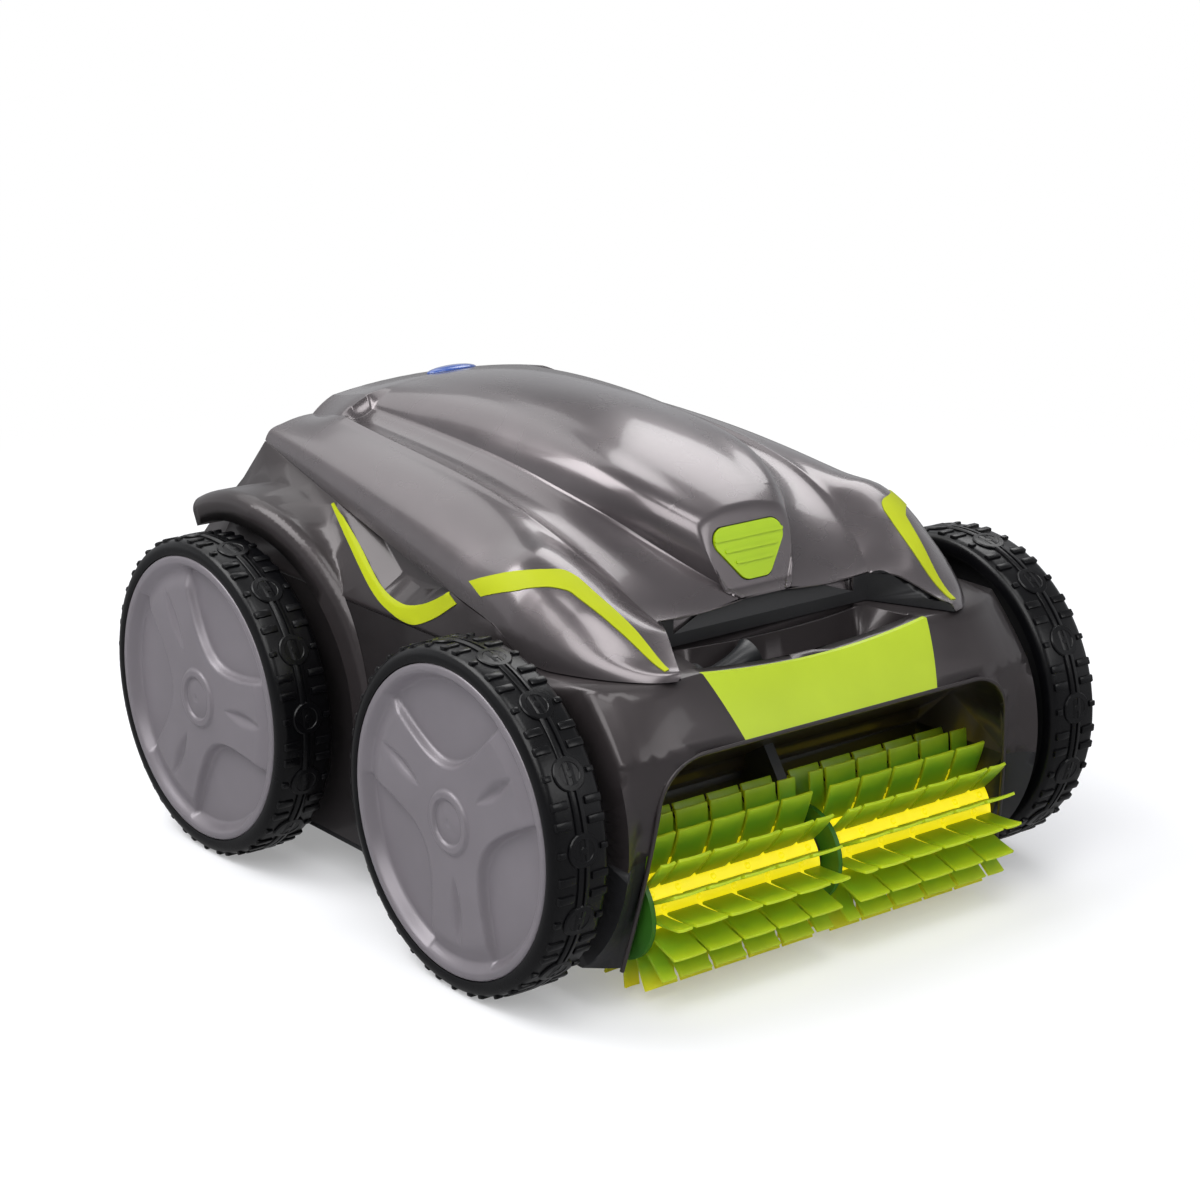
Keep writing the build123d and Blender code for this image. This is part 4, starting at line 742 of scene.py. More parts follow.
@dataclass
class Tyre:
    """Rubber tyre with a chain of round pads round its middle and pairs of bars beside it."""

    base: float = 95.8
    seat: float = 87.0
    width: float = 36.0
    inner_x: float = 163.0
    periods: int = 15
    steps: int = 120
    # Rings of a pad from its foot to its middle pin, as (radius, height over the base)
    pad_rings: tuple[Flat, ...] = (
        (9.6, -3.0), (9.6, 0.9), (9.0, 1.5), (6.4, 1.6), (6.0, 1.2), (2.2, 1.2), (1.9, 1.6), (0.4, 1.7),
    )
    pad_points: int = 24
    # Sizes of the blocks beside the pads, their middle as (across, over the base), and their rounded edges
    bar: Point = (10.4, 4.6, 4.0)
    bar_middle: Flat = (10.4, -0.7)
    bar_bevel: float = 0.9
    bar_turn: float = 3.1
    nib: Point = (4.5, 3.4, 3.6)
    nib_middle: Flat = (13.4, -0.6)
    nib_bevel: float = 0.7

    def spun(self, name: str, section: Sequence[Flat]) -> Piece:
        """Spin a closed section about the axle.

        Args:
            name: Name of the ring.
            section: Places across the tyre and radii.

        Returns:
            The ring, about the X axis at the origin.
        """
        ring = new_piece(name, bpy.ops.mesh.primitive_circle_add, vertices=len(section), radius=0.01)
        for vertex, (across, radius) in zip(ring.data.vertices, section):
            vertex.co = Vector((across, 0.0, radius)) * MM
        with editing(ring):
            bpy.ops.mesh.spin(steps=self.steps, angle=2 * math.pi, center=(0, 0, 0), axis=(1, 0, 0))
        clean(ring)
        return ring

    def block(self, name: str, size: Point, middle: Point, bevel: float, turn: float) -> Piece:
        """Make a rounded rubber block.

        Args:
            name: Name of the block.
            size: Its full sizes.
            middle: Its middle.
            bevel: Width of its rounded edges.
            turn: Its turn about the axle in degrees.

        Returns:
            The block.
        """
        block = new_piece(name, bpy.ops.mesh.primitive_cube_add, size=1.0)
        block.data.transform(Matrix.Diagonal((*[s * MM for s in size], 1.0)))
        block.data.transform(Matrix.Translation(Vector(middle) * MM))
        apply_modifier(block, "BEVEL", width=bevel * MM, segments=2)
        block.data.transform(Matrix.Rotation(math.radians(turn), 4, "X"))
        return block

    def pad(self) -> Piece:
        """Model one round pad with its sunk ring and middle pin.

        Returns:
            The pad, at the top of the tyre.
        """
        pad = ringed("pad", self.pad_points, [radius for radius, _ in self.pad_rings])
        for index, vertex in enumerate(pad.data.vertices):
            _, rise = self.pad_rings[min(index // self.pad_points, len(self.pad_rings) - 1)]
            vertex.co.z = math.sqrt((self.base + rise) ** 2 - (vertex.co.y / MM) ** 2) * MM
        clean(pad)
        return pad

    def build(self) -> Piece:
        """Model one tyre at the origin.

        Returns:
            The tyre about the X axis, from x = 0 to its width.
        """
        half, base, foot = self.width / 2, self.base, self.base - 1
        ring = self.spun(
            "tyre_ring",
            (
                (-half, self.seat), (-half, 91.6), (-half + 0.8, 93.6), (-half + 2.4, 95.0),
                (-half + 5.0, base), (half - 5.0, base), (half - 2.6, 95.0), (half - 0.9, 93.4),
                (half - 0.2, 91.0), (half, 88.6), (half - 0.6, self.seat),
            ),
        )
        left = ((-3.6, foot), (-3.4, 96.8), (-2.8, 97.2), (-0.9, 97.3), (-0.6, 96.2))
        strip = self.spun("tyre_strip", (*left, *((-x, radius) for x, radius in reversed(left))))
        pad = self.pad()
        half_period = 180.0 / self.periods
        blocks = []
        for side in Side:
            across, over = self.bar_middle
            for turn in (-self.bar_turn, self.bar_turn):
                middle = (side.value * across, 0.0, base + over)
                blocks.append(self.block("bar", self.bar, middle, self.bar_bevel, turn))
            across, over = self.nib_middle
            middle = (side.value * across, 0.0, base + over)
            blocks.append(self.block("nib", self.nib, middle, self.nib_bevel, half_period))
        pad.data.transform(Matrix.Rotation(math.radians(half_period), 4, "X"))
        period = joined("tread", [pad, *blocks])
        treads = [
            copied(period, Matrix.Rotation(2 * math.pi * step / self.periods, 4, "X"))
            for step in range(1, self.periods)
        ]
        tyre = joined("tyre", [ring, strip, period, *treads])
        tyre.data.transform(Matrix.Translation((half * MM, 0.0, 0.0)))
        smooth(tyre, 40)
        return tyre

    def fit(self, material: Material) -> None:
        """Place a tyre on each wheel.

        Args:
            material: Rubber of the tyre.
        """
        out = Matrix.Translation((self.inner_x * MM, 0.0, 0.0))
        turns = {Side.LEFT: Matrix.Rotation(math.pi, 4, "Z"), Side.RIGHT: STAY}
        on_wheels(self.build(), material, "rubber_tyre", "tyre", lambda side, end: turns[side] @ out)


@dataclass
class Hubcap:
    """Dished hubcap with three sunk panels between broad spokes, a groove in each, and a ringed boss."""

    outer: float = 86.7
    lip_x: float = 199.0
    back_x: float = 190.0
    floor_x: float = 191.8
    segments: int = 420
    # Radii between which the dish rises to the lip, and between which a spoke fades to half
    wall: Flat = (76.5, 83.0)
    spoke_end: Flat = (66.0, 78.0)
    spoke_rise: float = 5.4
    panel_start: float = 30.0
    panel_spread: float = 44.0
    panel_edge: Flat = (-0.6, 3.4)
    groove_start: float = 30.0
    groove_length: float = 40.0
    groove_depth: float = 3.0
    groove_width: Flat = (0.6, 2.4)
    boss: float = 20.0
    boss_ring: tuple[Flat, Flat] = ((18.5, 16.5), (12.2, 13.6))
    boss_rise: Flat = (1.8, 1.6)
    boss_dome: float = 12.0
    pin: Flat = (0.9, 1.6)
    # Rings of the mesh inside the lip
    runs: tuple[Run, ...] = ((82.35, 0.65, 10), (76.0, 0.9, 64), (18.7, 0.6, 30))
    turns: dict[End, float] = field(default_factory=lambda: {End.FRONT: 24.0, End.REAR: 60.0})

    def height(self, radius: float, angle: float) -> float:
        """Distance of the cap's face from the machine's middle.

        Args:
            radius: Distance from the axle.
            angle: Angle in radians from the middle of a spoke.

        Returns:
            Distance along the axle.
        """
        wall = ease(*self.wall, radius)
        if wall >= 1.0:
            return self.lip_x
        third = 2 * math.pi / 3
        local = (angle % third) - third / 2
        along, aside = radius * math.cos(local), radius * math.sin(local)
        spread = aside / math.tan(math.radians(self.panel_spread))
        spoke = 1.0 - ease(*self.panel_edge, along - math.sqrt(self.panel_start**2 + spread**2))
        spoke *= 1.0 - 0.5 * ease(*self.spoke_end, radius)
        offset = radius * math.sin(((angle + third / 2) % third) - third / 2)
        share = min(max((radius - self.groove_start) / self.groove_length, 0.0), 1.0)
        leaf = max(math.sin(math.pi * share), 0.0)
        least, more = self.groove_width
        groove = leaf * math.exp(-((offset / (least + more * leaf)) ** 2))
        face = self.floor_x + self.spoke_rise * spoke - self.groove_depth * groove
        if radius < self.boss:
            outside, inside = self.boss_ring
            ring = ease(*outside, radius) * ease(*inside, radius)
            dome = max(1 - (radius / self.boss_dome) ** 2, 0.0)
            face += self.boss_rise[0] * ring + self.boss_rise[1] * dome
            face -= self.pin[0] * math.exp(-((radius / self.pin[1]) ** 2))
        return face + (self.lip_x - face) * wall

    def build(self) -> Piece:
        """Model one hubcap at the origin.

        Returns:
            The cap, with its face towards +X at its real distance.
        """
        radii = [self.outer, self.outer, self.outer - 0.5, self.outer - 1.6, 83.6, 83.0, *stepped(self.runs)]
        levels = dict(enumerate((self.back_x, self.lip_x - 1.6, self.lip_x - 0.5, self.lip_x)))
        cap = ringed("cap", self.segments, radii)
        for index, vertex in enumerate(cap.data.vertices):
            radius = math.hypot(vertex.co.x, vertex.co.y) / MM
            angle = math.atan2(vertex.co.y, vertex.co.x)
            reach = levels.get(index // self.segments, self.height(radius, angle))
            vertex.co = Vector((reach * MM, vertex.co.x, vertex.co.y))
        clean(cap, 1e-6)
        smooth(cap, 75)
        return cap

    def place(self, side: Side, end: End) -> Matrix:
        """Turn a cap on its wheel, and mirror it on the left."""
        turn = Matrix.Rotation(math.radians(self.turns[end]), 4, "X")
        return turn @ Matrix.Diagonal((side.value, 1.0, 1.0, 1.0))

    def fit(self, material: Material) -> None:
        """Place a cap on each wheel."""
        on_wheels(self.build(), material, "moulded_hubcap", "hubcap", self.place)


@dataclass
class BrushPaddles:
    """Rows of soft paddles on the two halves of the brush, with a round nub beside each paddle's root."""

    root: float = 20.8
    tip: float = 46.5
    rows: int = 16
    per_row: int = 5
    pitch: float = 24.4
    width: float = 22.0
    least_width: float = 3.0
    thickness: float = 1.7
    edge_round: float = 0.35
    curl: float = 2.2
    cup: float = 0.5
    waist: float = 0.05
    nub: Point = (2.1, 2.1, 1.1)
    nub_radius: float = 21.4
    starts: dict[Side, float] = field(default_factory=lambda: {Side.LEFT: -126.0, Side.RIGHT: 7.0})
    span: float = 122.0

    def paddle(self, width: float) -> Piece:
        """Model one paddle, slightly curled and waisted.

        Args:
            width: Its width.

        Returns:
            The paddle, standing on the brush's axis along +Z, from x = 0.
        """
        paddle = new_piece(
            "paddle", bpy.ops.mesh.primitive_grid_add, x_subdivisions=4, y_subdivisions=8, size=1.0
        )
        for vertex in paddle.data.vertices:
            across, up = vertex.co.x + 0.5, vertex.co.y + 0.5
            narrow = 1.0 - self.waist * (1 - up)
            x = width * (0.5 + (across - 0.5) * narrow)
            y = self.curl * (up**2 - up / 2) + self.cup * (2 * across - 1) ** 2 * up
            vertex.co = Vector((x, y, self.root + (self.tip - self.root) * up)) * MM
        apply_modifier(paddle, "SOLIDIFY", thickness=self.thickness * MM, offset=0.0)
        apply_modifier(paddle, "BEVEL", width=self.edge_round * MM, segments=2, limit_method="ANGLE")
        return paddle

    def stud(self) -> Piece:
        """Model one nub.

        Returns:
            The nub at the origin.
        """
        nub = new_piece("nub", bpy.ops.mesh.primitive_uv_sphere_add, segments=12, ring_count=6, radius=1.0)
        nub.data.transform(Matrix.Diagonal((*[s * MM for s in self.nub], 1.0)))
        return nub

    def fit(self, material: Material, core: Material) -> None:
        """Place the paddles and nubs of both halves.

        Args:
            material: Finish of the paddles.
            core: Finish of the brush's core, which carries the nubs.
        """
        half_step = Matrix.Rotation(math.pi / self.rows, 4, "X")
        for side in Side:
            paddles, nubs = [], []
            for row in range(self.rows):
                turn = Matrix.Rotation(2 * math.pi * row / self.rows, 4, "X")
                shift = 0.0 if row % 2 else -self.pitch / 2
                for start in (shift + fin * self.pitch for fin in range(self.per_row + 1)):
                    low, high = max(start, 0.0), min(start + self.width, self.span)
                    if high - low < self.least_width:
                        continue
                    paddle = self.paddle(high - low)
                    paddle.data.transform(turn @ Matrix.Translation((low * MM, 0.0, 0.0)))
                    paddles.append(paddle)
                    nub = self.stud()
                    lift = Matrix.Translation(((low + high) / 2 * MM, 0.0, self.nub_radius * MM))
                    nub.data.transform(turn @ half_step @ lift)
                    nubs.append(nub)
            place = Matrix.Translation(Vector((self.starts[side], *BRUSH_AXIS)) * MM)
            fins = joined(f"soft_paddles_{side.label}", paddles)
            fins.data.transform(place)
            smooth(fins, 40)
            mount(fins, material, "brush", "fins", f"brush_fins_{side.label}")
            studs = joined(f"core_nubs_{side.label}", nubs)
            studs.data.transform(place)
            smooth(studs, 60)
            mount(studs, core, "brush", "core")


@dataclass(frozen=True)
class NosePlane:
    """Flat nose of the hood: where it starts below, and its lean in degrees."""

    y: float = -145.2
    z: float = 202.2
    tilt: float = 21.3

    @property
    def out(self) -> Vector:
        """Direction out of the nose."""
        return Vector((0.0, -math.cos(math.radians(self.tilt)), math.sin(math.radians(self.tilt))))

    def at(self, across: float, up: float, out: float) -> Vector:
        """Find a place in metres from distances across, up and out of the nose."""
        rise = Vector((0.0, self.out.z, -self.out.y))
        return (Vector((across, self.y, self.z)) + rise * up + self.out * out) * MM

    def height(self, y: float) -> float:
        """Find the height of the nose's face at a place along the machine."""
        return self.z + (y - self.y) / math.tan(math.radians(self.tilt))


NOSE = NosePlane()


@dataclass
class HoodSkin:
    """Lacquered face of the hood: a hump that narrows to the nose, between two valleys and two shoulders."""

    rear_y: float = 181.0
    front_y: float = -200.0
    step_y: float = 136.0
    # Half width of the lower edge at its widest place, at the rear and at the front
    wide_y: float = -116.0
    wide_half: float = 150.5
    rear_half: float = 116.0
    front_half: float = 101.5
    # Height of the lower edge at the front, and how it rises behind that
    edge_low: float = 176.4
    edge_lift: float = 31.9
    edge_slope: float = 0.146
    edge_ramp: Flat = (-146.0, -96.0)
    # Height of the steep sides in the middle and at the front, what they lose at the rear, and their swell
    side_tall: float = 27.0
    side_front: float = 5.0
    side_front_end: float = -126.0
    side_loss: float = 18.0
    side_loss_run: float = 212.0
    side_swell: float = 5.0
    side_swell_ramp: Flat = (-71.0, -121.0)
    side_bend: tuple[Flat, Flat] = ((14.0, 1.0), (2.8, 0.55))
    # Half distance of the outer creases in the middle, and what they lose at the front and the rear
    crease_mid_y: float = -42.0
    crease_half: float = 97.0
    crease_losses: Flat = (19.0, 16.0)
    crease_least: float = 70.0
    crease_inset: float = 20.0
    # Height of the creases: below the crown, then falling slowly and at last steeply to the gap
    crease_rear_y: float = 149.0
    crease_drop: float = 25.5
    crease_falls: Flat = (12.0, 49.5)
    crease_rear_drop: float = 7.0
    # Ahead of the gap's edge the creases run out gently, with a soft change of slope
    gentle_z: float = 192.0
    gentle_slope: float = 0.27
    gentle_round: float = 6.0
    gentle_run: float = 14.0
    crown_y: float = 49.0
    crown_z: float = 278.9
    crown_rear_drop: float = 18.0
    crown_front_drop: float = 41.0
    crown_front_run: float = 183.0
    hump_y: float = 5.0
    hump_half: Flat = (66.0, 14.7)
    hump_least: float = 12.0
    foot_rise: Flat = (1.7, 3.8)
    foot_ramp_y: float = -71.0
    valley_dip: float = 1.0
    nose_round: float = 6.0
    # Part of the nose that is smoothed: half width, and its two ends
    soft_half: float = 50.0
    soft_ends: Flat = (-151.0, -116.0)
    # Bead on the creases as (height, width), and groove at the hump's foot as (depth, width, offset)
    bead: Flat = (0.7, 2.2)
    groove: Point = (0.9, 1.6, 1.4)
    relief_ramp: Flat = (-150.0, -120.0)
    notch_half: Flat = (77.0, 101.0)
    notch_past: float = 30.0
    notch_heights: Flat = (120.0, 300.0)
    button: tuple[Flat, ...] = ((-33.6, 31.6), (-9.6, -0.6), (9.6, -0.6), (33.6, 31.6))
    button_corner: float = 8.0
    button_depth: float = 6.0
    thickness: float = 0.8
    counts: tuple[int, int, int] = (30, 18, 24)

    def half(self, y: float) -> float:
        """Find the half width at the lower edge.

        Args:
            y: Place along the machine.

        Returns:
            Distance from the middle.
        """
        if y >= self.wide_y:
            share = (y - self.wide_y) / (self.rear_y - self.wide_y)
            return self.wide_half - (self.wide_half - self.rear_half) * share**1.3
        share = min((self.wide_y - y) / (self.wide_y - self.front_y), 1.0)
        return self.front_half + (self.wide_half - self.front_half) * (1 - share**1.6) ** 0.625

    def side(self, y: float) -> Flat:
        """Find the lower edge and the steep side above it.

        Args:
            y: Place along the machine.

        Returns:
            Height of the edge, and height of the side above the edge.
        """
        edge = self.edge_low + (self.edge_lift + self.edge_slope * y) * ease(*self.edge_ramp, y)
        ahead = min((self.rear_y - y) / self.side_loss_run, 1.0)
        swell = self.side_swell * ease(*self.side_swell_ramp, y)
        tall = self.side_tall - self.side_loss * (1 - ahead) ** 2 + swell
        rise = self.side_front + (tall - self.side_front) * ease(self.front_y, self.side_front_end, y)
        return edge, rise

    def crease(self, y: float) -> Flat:
        """Find the outer creases.

        Args:
            y: Place along the machine.

        Returns:
            Half distance between them, and their height.
        """
        front = max((self.crease_mid_y - y) / (self.crease_mid_y - NOTCH_Y), 0.0)
        rear = max((y - self.crease_mid_y) / (self.rear_y - self.crease_mid_y), 0.0)
        share = max((self.crease_rear_y - y) / (self.crease_rear_y - NOTCH_Y), 0.0)
        slow, steep = self.crease_falls
        level = self.crown_z - self.crease_drop - slow * share - steep * share**4.7
        if y < NOTCH_Y + self.gentle_run:
            gentle = self.gentle_z - self.gentle_slope * (NOTCH_Y - y)
            meet = max(self.gentle_round - abs(level - gentle), 0.0) ** 2 / (4 * self.gentle_round)
            level = max(level, gentle) + meet
        front_loss, rear_loss = self.crease_losses
        wide = max(self.crease_half - front_loss * front**2.5 - rear_loss * rear**2, self.crease_least)
        level -= self.crease_rear_drop * ease(self.step_y, self.rear_y, y)
        return min(wide, self.half(y) - self.crease_inset), level

    def crown(self, y: float) -> float:
        """Find the height along the middle.

        Args:
            y: Place along the machine.

        Returns:
            Height of the hump's top.
        """
        if y > self.crown_y:
            share = (y - self.crown_y) / (self.rear_y - self.crown_y)
            return self.crown_z - self.crown_rear_drop * share**2
        return self.crown_z - self.crown_front_drop * ((self.crown_y - y) / self.crown_front_run) ** 2.4

    def flattened(self, y: float, z: float, floor: float) -> float:
        """Trim the hump by the flat nose, with a rounded edge.

        Args:
            y: Place along the machine.
            z: Height of the hump.
            floor: Height at which the trim ends.

        Returns:
            Height after the trim.
        """
        plane = NOSE.height(y)
        meet = max(self.nose_round - abs(z - plane), 0.0) ** 2 / (4 * self.nose_round)
        return max(min(z, plane) - meet, floor)

    def section(self, y: float) -> list[Flat]:
        """Read the right half of one cross section, from the middle to the lower edge.

        Args:
            y: Place along the machine. Behind the step the valleys are filled up to an arch.

        Returns:
            Places as distance from the middle and height.
        """
        arched = y > self.step_y
        half = self.half(y)
        edge, rise = self.side(y)
        crease = self.crease(y)
        share = min(max((self.hump_y - y) / (self.hump_y - NOTCH_Y), 0.0), 1.0)
        wide, narrow = self.hump_half
        reach = narrow + (wide - narrow) * (1 - share**3.2)
        foot = crease[1] + self.foot_rise[0] + self.foot_rise[1] * ease(NOTCH_Y, self.foot_ramp_y, y)
        top = max(self.crown(y), crease[1] + self.hump_least)
        # The hump gets boxier towards the nose; its bends are shares of its half width and height
        boxy = ease(self.hump_y, NOTCH_Y, y)
        if arched:
            foot += 0.45 * (top - foot)
            dip = crease[1] + 0.6 * (foot - crease[1])
            bends = [(0.5, 0.76)]
        else:
            dip = crease[1] - self.valley_dip
            bends = [(0.5, 0.84 + 0.13 * boxy), (0.85 + 0.07 * boxy, 0.5 + 0.35 * boxy)]
        slope = [*((out * reach, foot + up * (top - foot)) for out, up in bends), (reach, foot)]
        hump = [*((-x, z) for x, z in reversed(slope)), (0.0, top), *slope]
        valley = [(reach, foot), ((reach + crease[0]) / 2, dip), crease]
        shoulder = [crease, *((half - inset, edge + up * rise) for inset, up in self.side_bend), (half, edge)]
        count = self.counts[0]
        read = bent(hump, [0.5 + 0.5 * math.sin(math.pi / 2 * step / count) for step in range(count + 1)])
        read[0] = (0.0, read[0][1])
        places = [(x, self.flattened(y, z, foot)) for x, z in read]
        for line, count in zip((valley, shoulder), self.counts[1:]):
            shares = [(1 - math.cos(math.pi * step / count)) / 2 for step in range(count + 1)]
            places += bent(line, shares)[1:]
        crisp = 0.0 if arched else ease(*self.relief_ramp, y)
        high, bead = self.bead
        deep, groove, offset = self.groove
        return [
            (
                x,
                z
                + crisp * high * math.exp(-(((x - crease[0]) / bead) ** 2))
                - crisp * deep * math.exp(-(((x - reach - offset) / groove) ** 2)),
            )
            for x, z in places
        ]

    def face(self) -> Piece:
        """Lay a fine grid over the hood.

        Returns:
            The open face.
        """
        # Runs of sections over the arched rear, the step, the middle, the nose and the horns
        rear, step, middle = (self.rear_y, 2.5, 16), (self.step_y + 4.0, 4.0, 2), (self.step_y - 3.0, 3.0, 78)
        rows = []
        for y in stepped((rear, step, middle, (-98.6, 0.6, 92), (-154.5, 1.75, 27))):
            right = self.section(y)
            whole = [(-x, z) for x, z in reversed(right[1:])] + right
            rows.append([Vector((x, y, z)) * MM for x, z in whole])
        tall, wide = len(rows) - 1, len(rows[0]) - 1
        face = new_piece(
            "hood_skin", bpy.ops.mesh.primitive_grid_add, x_subdivisions=wide, y_subdivisions=tall, size=1.0
        )
        for vertex in face.data.vertices:
            vertex.co = rows[round((0.5 - vertex.co.y) * tall)][round((vertex.co.x + 0.5) * wide)]
        front, back = (y * MM for y in self.soft_ends)
        soft = [
            v.index for v in face.data.vertices if abs(v.co.x) < self.soft_half * MM and front < v.co.y < back
        ]
        face.vertex_groups.new(name="nose").add(soft, 1.0, "REPLACE")
        apply_modifier(face, "SMOOTH", factor=0.5, iterations=4, vertex_group="nose")
        return face

    def notch_tool(self) -> Piece:
        """Make the block that opens the gap over the handle.

        Returns:
            The block, wider to the front.
        """
        block = new_piece("notch_tool", bpy.ops.mesh.primitive_cube_add, size=2.0)
        back, front = self.notch_half
        slope = (front - back) / (NOTCH_Y - self.front_y + 2.0)
        for vertex in block.data.vertices:
            y = self.front_y - self.notch_past if vertex.co.y < 0 else NOTCH_Y
            reach = back + slope * (NOTCH_Y - y)
            vertex.co = Vector((vertex.co.x * reach, y, self.notch_heights[vertex.co.z > 0])) * MM
        return block

    def button_tool(self) -> Piece:
        """Make the prism that opens the button's place in the nose.

        Returns:
            The prism, standing through the nose.
        """
        outline = rounded(self.button, self.button_corner, 12)
        count = len(outline)
        prism = new_piece(
            "button_tool", bpy.ops.mesh.primitive_cylinder_add, vertices=count, radius=1.0, depth=2.0
        )
        for vertex in prism.data.vertices:
            turn = math.atan2(vertex.co.x, vertex.co.y) / (2 * math.pi) % 1.0
            spot = outline[round(turn * count) % count]
            vertex.co = NOSE.at(spot.x, spot.y, self.button_depth * vertex.co.z)
        clean(prism, 1e-7)
        return prism

    def fit(self, material: Material) -> Piece:
        """Model the skin with its openings.

        Args:
            material: Finish of the hood.

        Returns:
            The open face before it got its thickness, to lay other pieces on.
        """
        skin = self.face()
        guide = copied(skin)
        apply_modifier(skin, "SOLIDIFY", thickness=self.thickness * MM, offset=-1.0)
        clean(skin, 1e-7)
        for tool in (self.notch_tool(), self.button_tool()):
            apply_modifier(skin, "BOOLEAN", operation="DIFFERENCE", object=tool, solver="MANIFOLD")
            bpy.data.objects.remove(tool)
        skin.name = "lacquered_hood_skin"
        smooth(skin, 62)
        mount(skin, material, "hood", "hood")
        return guide


@dataclass(frozen=True)
class StripeLine:
    """Two edges of a lime inlay on the left side, and the solid that carries it."""

    name: str
    carrier: str
    body: str
    upper: tuple[Point, ...]
    lower: tuple[Point, ...]


@dataclass
class Stripes:
    """Lime inlays that run over the hood's shoulders and down the body's sides."""

    rows: int = 7
    columns: int = 64
    proud: float = 0.3
    thickness: float = 0.6
    lines: tuple[StripeLine, ...] = (
        StripeLine(
            "hood_stripe",
            "hood",
            "hood",
            (
                (-146, -75, 210), (-141, -98, 219), (-134, -110, 222), (-126, -117, 223), (-117, -121, 222),
                (-113, -126, 219), (-111, -133, 215), (-104, -169, 196), (-103, -194, 181),
            ),
            (
                (-148, -89, 205), (-144, -110, 212), (-138, -119, 215), (-131, -126, 216), (-126, -131, 215),
                (-123, -135, 214), (-121, -141, 211), (-111, -171, 193), (-106, -194, 180),
            ),
        ),
        StripeLine(
            "side_stripe",
            "upper_shell",
            "machine",
            (
                (-130, 82, 218), (-139, 46, 205), (-147, 12, 189), (-148, -11, 183), (-148, -26, 185),
                (-148, -39, 190), (-146, -56, 199),
            ),
            (
                (-131, 84, 217), (-140, 52, 201), (-148, 18, 183), (-150, -3, 176), (-150, -25, 174),
                (-150, -43, 181), (-148, -65, 195),
            ),
        ),
    )

    def strip(self, line: StripeLine, side: Side, carrier: Piece) -> Piece:
        """Lay one strip on its carrier.

        Args:
            line: Edges of the strip.
            side: Side of the machine.
            carrier: Solid that the strip lies on.

        Returns:
            The strip, with its own thickness.
        """
        piece = new_piece(
            f"{line.name}_{side.label}",
            bpy.ops.mesh.primitive_grid_add,
            x_subdivisions=self.columns,
            y_subdivisions=self.rows,
            size=1.0,
        )
        tops, lows = (through(edge, self.columns + 1) for edge in (line.upper, line.lower))
        for vertex in piece.data.vertices:
            column = round((vertex.co.x + 0.5) * self.columns)
            place = lows[column].lerp(tops[column], vertex.co.y + 0.5)
            vertex.co = Vector((-side.value * place.x, place.y, place.z))
        apply_modifier(
            piece,
            "SHRINKWRAP",
            target=carrier,
            wrap_method="NEAREST_SURFACEPOINT",
            offset=self.proud * MM,
            wrap_mode="ABOVE_SURFACE",
        )
        apply_modifier(piece, "SOLIDIFY", thickness=self.thickness * MM, offset=0.0)
        clean(piece, 1e-6)
        smooth(piece, 50)
        return piece

    def fit(self, nodes: dict[str, Piece], material: Material) -> None:
        """Place all strips on both sides.

        Args:
            nodes: Carriers by name.
            material: Finish of the strips.
        """
        for line in self.lines:
            for side in Side:
                mount(self.strip(line, side, nodes[line.carrier]), material, line.body, "grip")


@dataclass
class Machine:
    """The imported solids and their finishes."""

    nodes: dict[str, Piece]
    slots: dict[str, str]
    materials: dict[str, Material] = field(default_factory=dict)

    def finish(self, name: str) -> Material:
        """Give the material of a finish, made once.

        Args:
            name: Name of the finish.

        Returns:
            Its material.
        """
        if name not in self.materials:
            self.materials[name] = FINISHES[name].material()
        return self.materials[name]

    def dress_solids(self) -> None:
        """Give every solid the finish of its material slot."""
        for name, solid in self.nodes.items():
            dress(solid, self.finish(self.slots[name]))
        log.info("solids dressed: %d", len(self.nodes))


